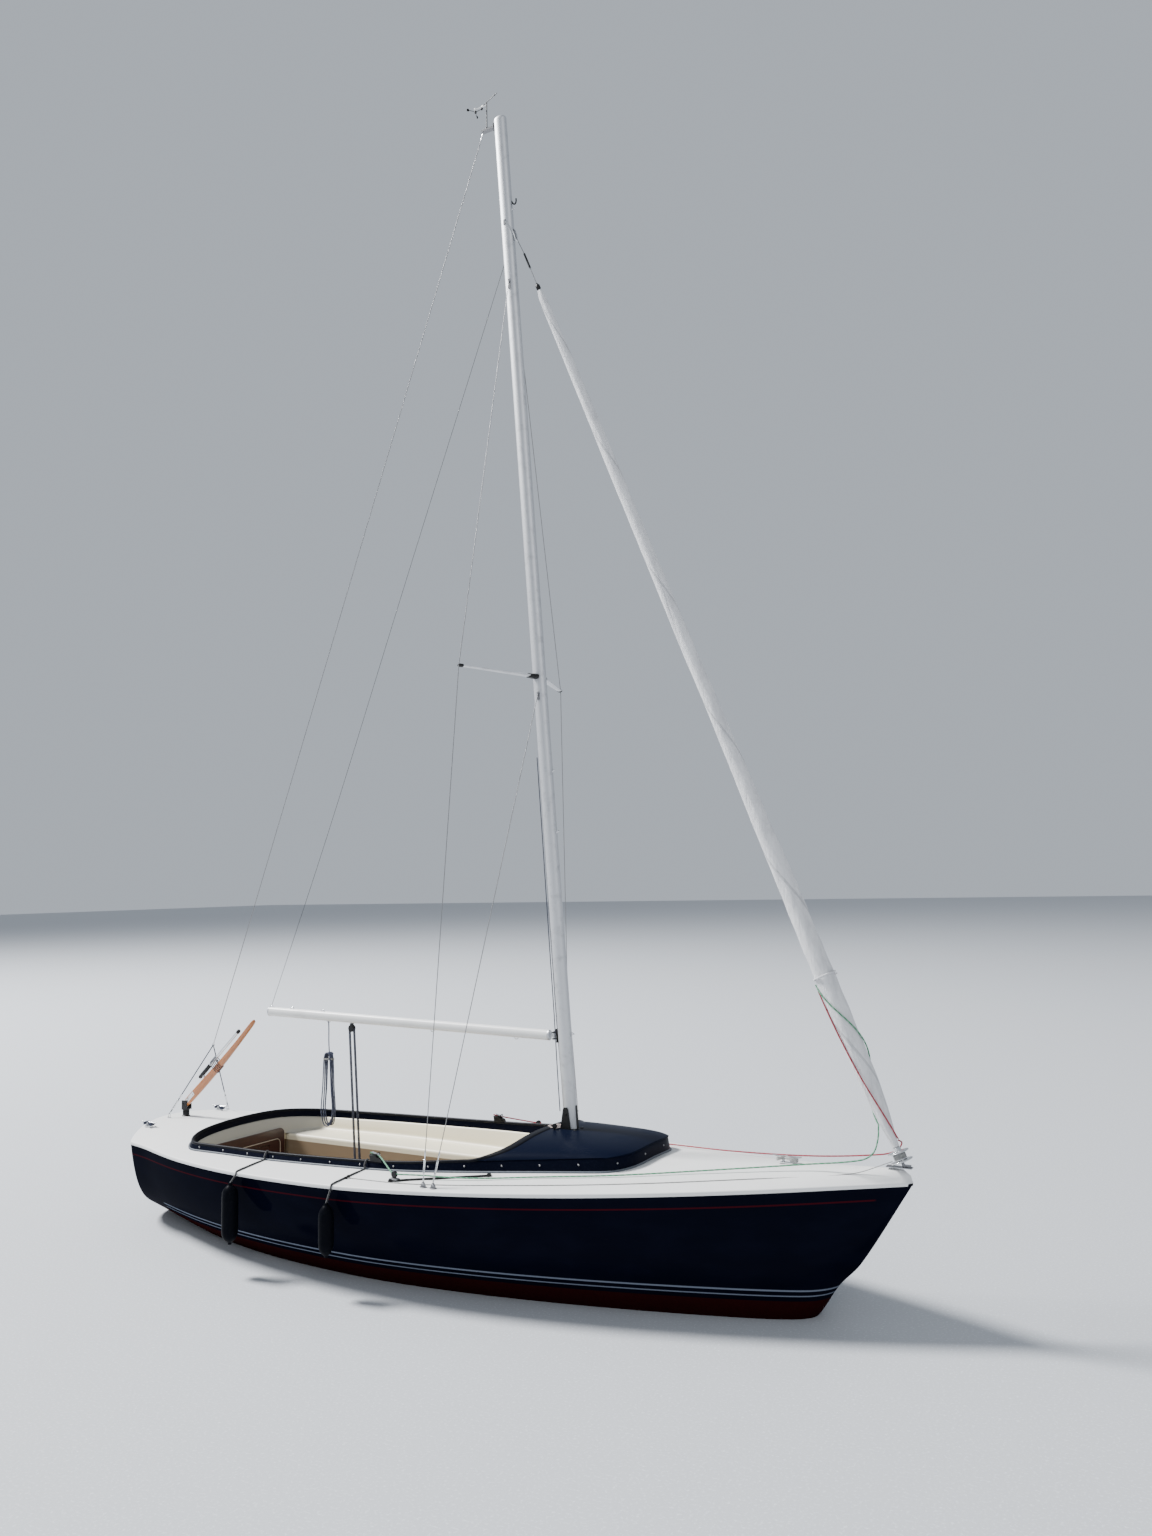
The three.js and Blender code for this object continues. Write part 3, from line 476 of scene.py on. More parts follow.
@dataclass(frozen=True)
class HullFinish(Finish):
    """Glossy topsides over antifouling, with two boot lines and a cove line.

    Attributes:
        bottom: The antifouling's colour.
        line: The boot lines' colour.
        cove: The cove line's colour.
    """

    bottom: Colour = (0.014, 0.002, 0.0022)
    line: Colour = (0.17, 0.2, 0.26)
    cove: Colour = (0.04, 0.0025, 0.006)

    def shade(self, g: Graph) -> bpy.types.Material:
        """Colours by height; the cove line lies a little below a parabola that follows the sheer."""
        at = g.place()
        x, _, z = g.split(at)
        stations = np.linspace(-2.9, 3.1, 60)
        square, slope, level = np.polyfit(stations, LINES.sheer(stations) - 0.098, 2)
        below = z - (x * x * float(square) + x * float(slope) + float(level))
        ends = x.step(-2.86, -2.84) * (1.0 - x.step(3.03, 3.05))
        cloud = g.noise(at, 3.0, 5, 0.6, stretch=(1, 1, 2.5))
        streak = g.noise(at, 5.0, 4, 0.6, stretch=(9, 9, 0.8))
        faded = self.tone(1.6, 0.001)
        navy = g.mix(cloud.step(0.35, 0.75) * 0.5, self.colour, faded)
        red = g.mix(streak, self.bottom, tuple(c * 1.8 for c in self.bottom))
        under = 1.0 - z.step(0.128, 0.134)
        colour = g.mix(under, navy, red)
        lines = z.band(0.2, 0.0055) + z.band(0.165, 0.004)
        lines = lines * x.step(-2.62, -2.58)
        colour = g.mix(lines * 0.85, colour, self.line)
        colour = g.mix(below.band(0.0, 0.005) * ends * 0.9, colour, self.cove)
        rough = 0.2 + under * 0.45 + streak * 0.08
        ripple = g.noise(at, 2.2, 2)
        return g.surface(
            Base_Color=colour, Roughness=rough, Normal=g.bump(ripple, 0.004, 0.25),
            Coat_Weight=0.03, Coat_Roughness=0.06, Specular_IOR_Level=self.shine,
        )


@dataclass(frozen=True)
class Gelcoat(Finish):
    """Moulded gelcoat with grime in broad, faint patches.

    Attributes:
        grime: The colour of the dirt.
        amount: How much of it shows.
        grain: Depth of the non-slip grain.
    """

    grime: Colour = (0.42, 0.4, 0.34)
    amount: float = 0.35
    grain: float = 0.0002

    def shade(self, g: Graph) -> bpy.types.Material:
        """White or cream under long streaks of dirt, dull where it is worn."""
        at = g.place()
        patch = g.noise(at, 2.6, 6, 0.62)
        streak = g.noise(at, 3.2, 5, 0.6, stretch=(1, 9, 3))
        dirt = patch.step(0.5, 0.8) * 0.6 + streak.step(0.58, 0.8) * 0.4
        speck = g.noise(at, 130, 3).step(0.68, 0.76)
        colour = g.mix(dirt * self.amount, self.colour, self.grime)
        colour = g.mix(speck * 0.12 * self.amount, colour, self.grime)
        fine = g.noise(at, 420, 2)
        rough = self.rough + patch * 0.12 + dirt * 0.15
        normal = g.bump(fine, self.grain, 0.5)
        return g.surface(Base_Color=colour, Roughness=rough, Normal=normal, Specular_IOR_Level=self.shine)


@dataclass(frozen=True)
class Liner(Finish):
    """The liner's gelcoat: cream benches, with painted shade: tan low in the footwell and grey at the aft
    wall.

    Attributes:
        well: The tan painted below the benches' lip, as painted shade in the recessed footwell.
        aft: The grey painted on the aft wall and the aft ends of the side walls above the benches, as painted
            shade.
    """

    well: Colour = (0.26, 0.19, 0.12)
    aft: Colour = (0.42, 0.4, 0.34)

    def shade(self, g: Graph) -> bpy.types.Material:
        """Colours by place, with painted shade (tan low in the footwell, grey at the aft wall), under faint
        streaks of dirt.
        """
        at = g.place()
        x, _, z = g.split(at)
        patch = g.noise(at, 2.6, 6, 0.62).step(0.5, 0.8) * 0.6
        dirt = patch + g.noise(at, 3.2, 5, stretch=(1, 9, 3)).step(0.6, 0.8)
        # Painted shade: below about 0.55 m the cream goes over into tan, for the shaded, recessed footwell.
        colour = g.mix(1.0 - z.step(0.545, 0.551), self.colour, self.well)
        # Painted shade: aft of about x = -2 and above the benches the colour goes over into grey, for the
        # shaded aft wall.
        colour = g.mix((1.0 - x.step(-2.06, -1.92)) * z.step(0.59, 0.6), colour, self.aft)
        colour = g.mix(dirt * 0.22, colour, self.tone(0.5))
        rough, fine = self.rough + dirt * 0.2, g.noise(at, 420, 2)
        return g.surface(Base_Color=colour, Roughness=rough, Normal=g.bump(fine, 0.0002, 0.5))


@dataclass(frozen=True)
class Timber(Finish):
    """Varnished wood.

    Attributes:
        dark: The colour of the grain's dark lines.
        across: Which way the grain's lines lie: stretch along x, y and z.
        lamination: Thickness of the glued layers, nought for solid wood.
        lean: The layers' angle to the level, in radians.
    """

    dark: Colour = (0.04, 0.012, 0.008)
    across: Triple = (3.0, 3.0, 60.0)
    lamination: float = 0.0
    lean: float = 0.7419

    def shade(self, g: Graph) -> bpy.types.Material:
        """Long streaks of grain under clear varnish, and glue lines between the layers."""
        at = g.place()
        if self.lamination:
            turned = {"Vector": at, "Angle": self.lean}
            at = g.node("ShaderNodeVectorRotate", {"rotation_type": "Y_AXIS"}, turned)
        grain = g.noise(at, 4.0, 6, 0.65, stretch=self.across)
        broad = g.noise(at, 4.0, 3, stretch=tuple(a * 0.22 for a in self.across))
        pore = g.noise(at, 9.0, 2, stretch=tuple(a * 3 for a in self.across)).step(0.55, 0.7)
        colour = g.mix(grain.step(0.3, 0.7), self.colour, self.dark)
        colour = g.mix(broad * 0.5, colour, self.tone(1.5))
        colour = g.mix(pore * 0.35, colour, self.dark)
        height = grain
        if self.lamination:
            _, _, up = g.split(at)
            layer = (up / self.lamination).math("FRACT")
            glue = layer.band(0.5, 0.05, 0.03)
            tone = (up / self.lamination).math("FLOOR").math("SINE") * 0.5 + 0.5
            colour = g.mix(tone * 0.35, colour, self.dark)
            colour = g.mix(glue * 0.7, colour, self.dark)
            height = grain - glue
        return g.surface(
            Base_Color=colour, Roughness=self.rough + grain * 0.12, Normal=g.bump(height, 0.0004, 0.4),
            Coat_Weight=0.6, Coat_Roughness=0.12,
        )


@dataclass(frozen=True)
class Metal(Finish):
    """Bare metal, from polished steel to dull anodised tube.

    Attributes:
        drawn: Stretch of its drawing lines along x, y and z.
        tarnish: How much it has dulled.
    """

    drawn: Triple = (40.0, 40.0, 40.0)
    tarnish: float = 0.3

    def shade(self, g: Graph) -> bpy.types.Material:
        """Metal with fine drawing lines, stains and uneven gloss."""
        at = g.place()
        line = g.noise(at, 12.0, 3, stretch=self.drawn)
        stain = g.noise(at, 14, 5, 0.6)
        dull = self.tone(0.55)
        colour = g.mix(stain.step(0.5, 0.8) * self.tarnish, self.colour, dull)
        rough = self.rough + stain * 0.15 * self.tarnish + line * 0.08
        return g.surface(Base_Color=colour, Metallic=0.92, Roughness=rough, Normal=g.bump(line, 0.0002, 0.25))


@dataclass(frozen=True)
class Wire(Finish):
    """Laid stainless wire."""

    def shade(self, g: Graph) -> bpy.types.Material:
        """Strands that wind round the wire: sin(6 a + length / lay)."""
        angle, length = tube_angle(g)
        strand = (angle * 6.0 + length * 420.0).math("SINE")
        stain = g.noise(g.place(), 30, 4)
        colour = g.mix(strand * 0.3 + 0.3, self.colour, self.tone(0.35))
        rough, normal = self.rough + stain * 0.2, g.bump(strand, 0.0006, 0.8)
        return g.surface(Base_Color=colour, Metallic=0.9, Roughness=rough, Normal=normal)


def tube_angle(g: Graph) -> tuple[Socket, Socket]:
    """The angle round a tube and the length along it."""
    cos, sin, length = g.split(g.along())
    return sin.math("ARCTAN2", cos), length


@dataclass(frozen=True)
class Braid(Finish):
    """Braided rope of two colours.

    Attributes:
        fleck: The second colour.
        share: How much of the second colour shows.
        pitch: Radians of braid for each metre.
    """

    fleck: Colour = (0.6, 0.62, 0.66)
    share: float = 0.4
    pitch: float = 620.0

    def shade(self, g: Graph) -> bpy.types.Material:
        """Two families of yarns, sin(4 a + k s) and sin(4 a - k s), that pass over each other."""
        angle, length = tube_angle(g)
        left = (angle * 4.0 + length * self.pitch).math("SINE")
        right = (angle * 4.0 - length * self.pitch).math("SINE")
        weave = left * right
        marker = (angle + length * self.pitch * 0.25).math("SINE")
        marker = marker.step(1.0 - 2.0 * self.share, 1.05 - self.share)
        worn = g.noise(g.place(), 90, 4)
        colour = g.mix(marker * weave.step(-0.2, 0.3), self.colour, self.fleck)
        colour = g.mix(worn.step(0.45, 0.8) * 0.35, colour, self.tone(0.5))
        rough, normal = self.rough + 0.1 * worn, g.bump(weave, 0.0012, 0.9)
        return g.surface(Base_Color=colour, Roughness=rough, Normal=normal, Sheen_Weight=0.25)


@dataclass(frozen=True)
class Sailcloth(Finish):
    """Rolled sailcloth, grey with age."""

    def shade(self, g: Graph) -> bpy.types.Material:
        """A fine square weave, creases and grey stains along the roll."""
        at = g.place()
        angle, length = tube_angle(g)
        stain = g.noise(at, 5.0, 6, 0.65, stretch=(3, 3, 0.7))
        fold = g.noise(at, 3.0, 4, 0.6, stretch=(14, 14, 2.2))
        weave = (angle * 90.0).math("SINE") * (length * 2600.0).math("SINE")
        seam = ((angle * 0.159 + length * 0.9).math("FRACT")).band(0.5, 0.02, 0.008)
        dirt = g.noise(at, 22, 5, 0.7).step(0.62, 0.78)
        colour = g.mix(stain.step(0.35, 0.75) * 0.6, self.colour, (0.5, 0.5, 0.52))
        colour = g.mix(seam * 0.35, colour, (0.22, 0.23, 0.24))
        colour = g.mix(dirt * 0.25, colour, (0.16, 0.16, 0.15))
        height = fold * 6.0 + weave * 0.15 + seam * 1.5
        rough, normal = self.rough + stain * 0.1, g.bump(height, 0.0022, 0.9)
        return g.surface(Base_Color=colour, Roughness=rough, Normal=normal, Sheen_Weight=0.15)


@dataclass(frozen=True)
class Iron(Finish):
    """Antifouled iron: matt, blotched and lightly grown over."""

    def shade(self, g: Graph) -> bpy.types.Material:
        """Rough brushed paint with slime and worn leading parts."""
        at = g.place()
        blotch = g.noise(at, 7, 6, 0.7)
        brushed = g.noise(at, 12.0, 3, stretch=(2, 12, 12))
        slime = g.noise(at, 2.4, 5).step(0.5, 0.75)
        colour = g.mix(blotch.step(0.3, 0.7), self.colour, self.tone(1.9))
        colour = g.mix(slime * 0.4, colour, (0.03, 0.035, 0.015))
        height = blotch + brushed * 0.6
        rough, normal = self.rough + blotch * 0.1, g.bump(height, 0.0015, 0.6)
        return g.surface(Base_Color=colour, Roughness=rough, Normal=normal)


NAVY = HullFinish("hull_gelcoat", (0.0014, 0.002, 0.0065), shine=0.0)
DECK = Gelcoat("deck_gelcoat", (0.8, 0.8, 0.79), 0.42, (0.5, 0.49, 0.44), 0.4, 0.0004)
CREAM = Liner("liner_gelcoat", (0.86, 0.79, 0.6), 0.42)
BAND = Finish("band_gelcoat", (0.002, 0.003, 0.009), 0.4, shine=0.03)
CUDDY = Gelcoat("cuddy_gelcoat", (0.003, 0.005, 0.014), 0.3, (0.012, 0.018, 0.036), 0.3, 0.0001, shine=0.02)
MAHOGANY = Timber("mahogany", (0.045, 0.01, 0.0065), 0.35, (0.02, 0.005, 0.0035), (3.0, 3.0, 50.0))
VARNISH = Timber("varnished_wood", (0.56, 0.2, 0.05), 0.25, (0.2, 0.055, 0.015), (3.0, 60.0, 60.0), 0.0085)
IRON = Iron("antifouled_iron", (0.06, 0.01, 0.009), 0.75)
BLADE = Iron("antifouled_blade", (0.055, 0.009, 0.009), 0.7)
BLACK = Finish("black_fitting", (0.007, 0.007, 0.008), 0.42, shine=0.3)
BEAD = Finish("black_bead", (0.0035, 0.004, 0.007), 0.45, shine=0.08, slot="")
LIP = Finish("grey_lip", (0.1, 0.112, 0.13), 0.45, shine=0.15, slot="")
TUBE = Metal("extension_tube", (0.78, 0.79, 0.8), 0.28, (6.0, 60.0, 60.0), 0.2)
SPAR = Metal("mast_aluminium", (0.62, 0.63, 0.65), 0.42, (60.0, 60.0, 1.5), 0.55)
WIRE = Wire("wire", (0.36, 0.36, 0.37), 0.35)
STEEL = Metal("stainless", (0.72, 0.73, 0.74), 0.14, (40.0, 40.0, 40.0), 0.35)
DULL = Metal("dull_steel", (0.24, 0.24, 0.25), 0.35, (40.0, 40.0, 40.0), 0.4, slot="stainless")
CLOTH = Sailcloth("sailcloth", (0.8, 0.8, 0.81), 0.75)
ENAMEL = Gelcoat("boom_paint", (0.8, 0.8, 0.79), 0.3, (0.4, 0.4, 0.38), 0.45, 0.0001)
ROPE = Braid("rope", (0.02, 0.03, 0.085), 0.75, (0.15, 0.18, 0.28), 0.4)
NAVY_ROPE = Braid("navy_rope", (0.012, 0.018, 0.045), 0.75, (0.06, 0.08, 0.14), 0.3, slot="")
GREEN_ROPE = Braid("green_rope", (0.05, 0.27, 0.13), 0.75, (0.4, 0.62, 0.46), 0.35, slot="")
RED_ROPE = Braid("red_rope", (0.36, 0.012, 0.03), 0.75, (0.6, 0.15, 0.18), 0.25, slot="")
GREY_ROPE = Braid("grey_rope", (0.34, 0.34, 0.33), 0.8, (0.6, 0.6, 0.58), 0.4, slot="")
PALE_ROPE = Braid("pale_rope", (0.6, 0.48, 0.44), 0.8, (0.72, 0.7, 0.66), 0.4, slot="")
BLACK_ROPE = Braid("black_rope", (0.012, 0.012, 0.014), 0.7, (0.05, 0.05, 0.055), 0.3, slot="")
VINYL = Finish("fender_vinyl", (0.0025, 0.003, 0.005), 0.4, shine=0.02)
LINE = Finish("light_line", (0.5, 0.42, 0.32), 0.35, slot="")


def show(
    form: Form,
    name: str,
    finish: Finish,
    body: str = "root",
    stands_for: Sequence[str] = (),
    bevel: float = 0.0,
    shell: float = 0.0,
    smooth: float = 38.0,
) -> bpy.types.Object:
    """Makes a form a shown piece.

    Args:
        form: The piece's form, in place.
        name: Its name.
        finish: Its finish.
        body: The CAD body it moves with; nothing leaves that to the caller.
        stands_for: The CAD nodes it replaces.
        bevel: Radius on its sharp edges.
        shell: Thickness given to an open sheet.
        smooth: The angle in degrees up to which edges shade smooth.

    Returns:
        The object.
    """
    mesh = form.mesh(name)
    mesh.shade_smooth()
    mesh.set_sharp_from_angle(angle=math.radians(smooth))
    mesh.materials.append(finish.material())
    piece = bpy.data.objects.new(name, mesh)
    bpy.context.scene.collection.objects.link(piece)
    if shell:
        thick = piece.modifiers.new("shell", "SOLIDIFY")
        thick.thickness, thick.offset = shell, 0.0
    if bevel:
        soften(piece, bevel)
    if body:
        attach(piece, body)
    if stands_for:
        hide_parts(*stands_for)
    LOG.info("%s: %d faces on %s", name, len(mesh.polygons), body or "two bodies")
    return piece


def soften(piece: bpy.types.Object, radius: float) -> None:
    """Rounds a piece's sharp edges by a Bevel modifier."""
    round_off = piece.modifiers.new("round", "BEVEL")
    round_off.width, round_off.segments = radius, 3
    round_off.limit_method, round_off.angle_limit = "ANGLE", math.radians(38)


def dress(frame: dict, node: str, finish: Finish, bevel: float = 0.0) -> None:
    """Gives a carried-over CAD node its finish and, if asked, rounded edges."""
    piece = frame["nodes"][node]
    piece.data.materials.clear()
    piece.data.materials.append(finish.material())
    if bevel:
        soften(piece, bevel)
    LOG.info("%s: the CAD's own form, dressed", node)


def rope(
    points: Array, radius: float, name: str, finish: Finish, body: str = "root", sides: int = 8
) -> bpy.types.Object:
    """A rope along a line of points."""
    return show(Form.tube(points, radius, sides), name, finish, body, smooth=80)


# The boat's lines


@dataclass(frozen=True)
class Lines:
    """The hull's and coaming's driving lines.

    Attributes:
        stem: x of the stem at the deck.
        stern: x of the middle of the transom.
        bow: How far the quarters lie ahead of the transom's middle.
        bow_from: x from which the sections bend.
        stern_half: Half breadth over which they bend.
        rake: Metres aft for each metre up at the transom.
        edge: Thickness of the deck's edge.
        crown: Rise of the deck across half its breadth.
        lean: How far the coaming leans in.
        half: Half breadth at the deck.
        sheer: Height of the deck's edge.
        keel: Height of the hull's lowest line.
        coaming_half: Half breadth of the coaming's foot.
        coaming_height: Height of the coaming over the deck.
        cuddy_top: Height of the cuddy on the centreline.
    """

    stem: float = 3.235
    stern: float = -3.13
    bow: float = 0.3
    bow_from: float = -1.8
    stern_half: float = 0.665
    rake: float = 0.11
    edge: float = 0.0124
    crown: float = 0.072
    lean: float = 0.014
    half: Curve = Curve([
        (-3130, 665), (-2830, 715), (-2500, 795), (-2000, 912), (-1500, 1010), (-1000, 1064), (-390, 1081),
        (0, 1055), (500, 977), (1000, 864), (1500, 718), (2000, 545), (2500, 345), (3000, 121), (3235, 12),
    ])
    sheer: Curve = Curve(
        [(-3130, 686), (-2000, 681), (-1000, 691), (0, 714), (1000, 749), (2000, 796), (3235, 868)]
    )
    keel: Curve = Curve([
        (-3130, 40), (-2700, -35), (-2200, -115), (-1600, -190), (-800, -250), (0, -270), (800, -262),
        (1600, -225), (2200, -160), (2450, -95), (2620, 5), (2762, 201), (2912, 359), (3235, 846),
    ])
    coaming_half: Curve = Curve([
        (-2070, 745), (-1700, 762), (-1250, 785), (-640, 775), (-100, 745), (380, 655), (840, 545),
        (1100, 485), (1390, 420),
    ])
    coaming_height: Curve = Curve(
        [(-2300, 45), (-600, 45), (0, 52), (400, 68), (840, 76), (1360, 88), (1560, 86)]
    )
    cuddy_top: Curve = Curve([(700, 955), (900, 960), (1200, 958), (1400, 952), (1540, 940)])

    def share(self, x0: Array | float) -> Array:
        """How far a section is towards the stern's bend, from nought to one."""
        return np.clip((self.bow_from - x0) / (self.bow_from - self.stern), 0, 1)

    def section_x(self, x0: Array | float, y: Array | float) -> Array:
        """x of a section at breadth y: x0 + bow share^2 (y / half)^2."""
        return x0 + self.bow * self.share(x0) ** 2 * (y / self.stern_half) ** 2

    def station(self, x: Array, y: Array) -> Array:
        """The section through (x, y), from the root of the same bend."""
        span = self.bow_from - self.stern
        bend = self.bow * (y / self.stern_half) ** 2
        ahead = np.maximum(0.0, self.bow_from - x)
        root = np.sqrt(np.maximum(span * span - 4 * bend * ahead, 0))
        return np.where(x < self.bow_from, self.bow_from - span * 2 * ahead / (span + root), x)

    def deck_z(self, x: Array | float, y: Array | float) -> Array:
        """Height of the deck: sheer + crown (1 - (y / half)^2)."""
        x0 = self.station(np.asarray(x, float), np.asarray(y, float))
        return self.sheer(x0) + self.crown * (1 - np.minimum(1, np.abs(y) / self.half(x0)) ** 2)

    def on_deck(self, x: float, y: float, up: float = 0.0) -> Array:
        """A point on the deck, or up over it."""
        return np.array([x, y, float(self.deck_z(x, y)) + up])

    def side(self, x0: Array | float, t: Array) -> tuple[Array, Array]:
        """Breadth and height down a section, by a cubic from the deck's edge to the keel."""
        s, half, low = 1 - t, self.half(x0), self.keel(x0)
        top = self.sheer(x0) - self.edge
        y = half * (s**3 + 2.7 * s * s * t + 1.74 * s * t * t)
        z = s**3 * top + 3 * s * s * t * (top + (low - top) * 0.55)
        return y, z + 3 * s * t * t * (low + (top - low) * 0.03) + t**3 * low

    def skin_x(self, x0: Array | float, y: Array, z: Array) -> Array:
        """x of the skin, with the transom's rake."""
        top = self.sheer(x0) - self.edge
        return self.section_x(x0, y) - self.rake * self.share(x0) ** 2 * (z - top)

    def band_top(self, x: Array, y: Array) -> Array:
        """Height of the coaming's top."""
        x0 = np.asarray(x, float)
        deck = self.sheer(x0) + self.crown * (1 - (np.asarray(y) / self.half(x0)) ** 2)
        return deck + 0.002 + self.coaming_height(x0)

    def foot(self, counts: tuple[int, int, int] = (60, 300, 90)) -> Array:
        """Half of the coaming's foot, from the front's middle to the stern's middle, as (x, y)."""
        front, middle, aft = (np.linspace(0, 1, n + 1) for n in counts)
        x, aft = 1.39 - 3.46 * middle[1:], 1 - aft[1:]
        ends = (1.535 - 0.145 * front**5, 0.42 * front), (-2.29 + 0.22 * aft**5, 0.745 * aft)
        return np.hstack([ends[0], (x, self.coaming_half(x)), ends[1]]).T

    @cache
    def loop(self, count: int = 720, smooth: int = 30) -> tuple[Array, Array]:
        """The coaming's foot all round, evenly sampled with eased corners, and its inward normals."""
        half = self.foot()
        closed = np.vstack([half, half[-2::-1] * (1, -1)])
        length = travelled(closed)
        at = np.linspace(0, length[-1], count, endpoint=False)
        even = eased(np.stack([np.interp(at, length, column) for column in closed.T], -1), smooth)
        ahead = unit(np.roll(even, -1, 0) - np.roll(even, 1, 0))
        return even, np.stack([-ahead[:, 1], ahead[:, 0]], -1)


LINES = Lines()


@dataclass
class Hull:
    """The hull's skin, a shell that is open under the deck.

    Attributes:
        thick: Thickness of the shell.
        levels: Points down each section.
    """

    thick: float = 0.007
    levels: int = 56

    def skin(self) -> Form:
        """Both sides as one grid of sections, closed by the transom and the stem's nose."""
        spans = [(LINES.stern, -2.2, 70), (-2.2, 2.4, 150), (2.4, LINES.stem, 90)]
        x0 = [np.linspace(*span, endpoint=False) for span in spans]
        x0 = np.concatenate([*x0, [LINES.stem]])[:, None]
        y, z = LINES.side(x0, np.linspace(0, 1, self.levels)[None])
        x = LINES.skin_x(x0, y, z)
        sides = Form.grid(np.concatenate([stack(x, -y, z), stack(x, y, z)[:, -2::-1]], 1))
        return sides + self.end(LINES.stern, 0.0) + self.end(LINES.stem, 0.004)

    def end(self, x0: float, bulge: float) -> Form:
        """The sheet that closes a section: y = v y(t), with a bulge of (1 - v^2)."""
        t, v = np.linspace(0, 1, self.levels)[:, None], np.linspace(-1, 1, 41)
        y, z = LINES.side(x0, t)
        return Form.grid(stack(LINES.skin_x(x0, y * v, z) + bulge * (1 - v * v), y * v, z))

    def build(self) -> None:
        """Makes the skin."""
        show(self.skin(), "hull_skin", NAVY, stands_for=["hull"], shell=self.thick, bevel=0.006, smooth=32)


@dataclass
class Deck:
    """The deck's sheet with its turned-down edge.

    Attributes:
        rows: Rows between the edge and the coaming.
    """

    rows: int = 26

    def edge(self) -> tuple[Array, Array]:
        """The deck's edge and the coaming's foot, matched point by point from stem to stern."""
        spans = [(LINES.stem, 1.75, 60), (1.75, -2.45, 110), (-2.45, LINES.stern, 36)]
        x0 = np.concatenate([np.linspace(a, b, n, endpoint=False) for a, b, n in spans])
        side = np.stack([LINES.section_x(x0, LINES.half(x0)), LINES.half(x0)], -1)
        y = LINES.half(LINES.stern) * (1 - np.linspace(0, 1, 31))
        outer = np.vstack([side, np.stack([LINES.section_x(LINES.stern, y), y], -1)])
        return outer, LINES.foot((60, 110, 66))

    def build(self) -> None:
        """Makes the deck: plan points go straight from edge to foot, and deck_z gives the height."""
        outer, inner = self.edge()
        outer, inner = (np.vstack([p, p[-2:0:-1] * (1, -1)]) for p in (outer, inner))
        ahead = unit(np.roll(outer, -1, 0) - np.roll(outer, 1, 0))
        out = np.stack([ahead[:, 1], -ahead[:, 0]], -1)
        out = unit(np.roll(out, 1, 0) + out + np.roll(out, -1, 0))
        level = LINES.deck_z(outer[:, 0], outer[:, 1])
        lip = [(1, -24), (4.5, -22), (5.5, -14), (5.5, -7), (4, -2.2), (0.5, 0)]
        rings = [np.column_stack([outer + out * away, level + up]) for away, up in mm(lip)]
        toward = inner - outer
        foot = inner + unit(toward) * 0.016
        for s in (np.arange(self.rows) / (self.rows - 1)) ** 1.15:
            plan = (outer - out * 0.006) * (1 - s) + foot * s
            rings.append(np.column_stack([plan, LINES.deck_z(plan[:, 0], plan[:, 1])]))
        sheet = Form.grid(np.stack(rings), True)
        show(sheet, "deck_sheet", DECK, stands_for=["deck"], shell=0.004, smooth=50)


@dataclass
class Coaming:
    """The band round the cockpit and the cuddy's foot, its grey lip, bead and studs.

    Attributes:
        bead: Radius of the black bead.
        stud_pitch: Distance between the snap studs.
    """

    bead: float = 0.0125
    stud_pitch: float = 0.267

    def swept(self, profile: Sequence[Triple]) -> Form:
        """A profile swept round the foot.

        Args:
            profile: Rows of inset and height in millimetres, and the share of the band's height.
        """
        plan, inward = LINES.loop()
        inset, height, share = (np.array(profile, float) * (0.001, 0.001, 1)).T
        top, tall = LINES.band_top(*plan.T)[:, None], LINES.coaming_height(plan[:, :1])
        where = plan[:, None] + inward[:, None] * inset[None, :, None]
        return Form.grid(stack(where[..., 0], where[..., 1], top - tall + height + share * tall), loop=True)

    def rim(self) -> Array:
        """The bead's line: round the coaming, and over the arch of the cuddy's aft edge."""
        plan, inward = LINES.loop()
        line = np.column_stack([plan + inward * 0.024, LINES.band_top(*plan.T) + 0.001])
        arch = Cuddy().points(np.zeros(1), np.linspace(-1, 1, 60))[0]
        aft = line[line[:, 0] < arch[0, 0] - 0.03]
        return eased(np.vstack([aft, arch + (0, 0, -0.003)]), 3)

    def studs(self) -> Form:
        """Domed studs at even distances along both sides, half way up the outside of the band."""
        plan, inward = LINES.loop()
        length = travelled(np.vstack([plan, plan[:1]]))
        half = np.arange(0.5, length[-1] / 2 / self.stud_pitch) * self.stud_pitch
        pick = np.searchsorted(length[:-1], np.concatenate([half, length[-1] - half])) % len(plan)
        at, out = plan[pick], -inward[pick]
        z = LINES.band_top(*at.T) - LINES.coaming_height(at[:, 0]) * 0.42
        at = at - out * (LINES.lean * 0.55 - 0.0005)
        dome = Form.lathe(mm([(0, 4.8), (3, 4.4), (5.8, 2.6), (7, 0), (7, -3)]), 14)
        return dome.copies([frame_of((*p, h), (*o, 0.3), UP) for p, h, o in zip(at, z, out)])

    def build(self) -> None:
        """Makes the band and what it carries."""
        lip = [(2, -4, 0), (-8, -2, 0), (-9.5, 4, 0), (-7, 9, 0), (0, 11.5, 0)]
        band = [(0, 8, 0), (1, 13, 0), (5, 0, 0.4), (10.5, 0, 0.8), (13.5, -5, 1), (15.5, -1, 1)]
        band += [(19.5, 0.8, 1), (30, 0.5, 1), (34, -4, 1), (34, 0, 0.5), (34.5, 0, 0), (35, -30, 0)]
        show(self.swept(band), "coaming_band", BAND, stands_for=["coaming"], smooth=40)
        show(self.swept(lip), "coaming_lip", LIP, smooth=60)
        show(Form.tube(self.rim(), self.bead, 16, True), "coaming_bead", BEAD, smooth=80)
        show(self.studs(), "coaming_studs", DULL)


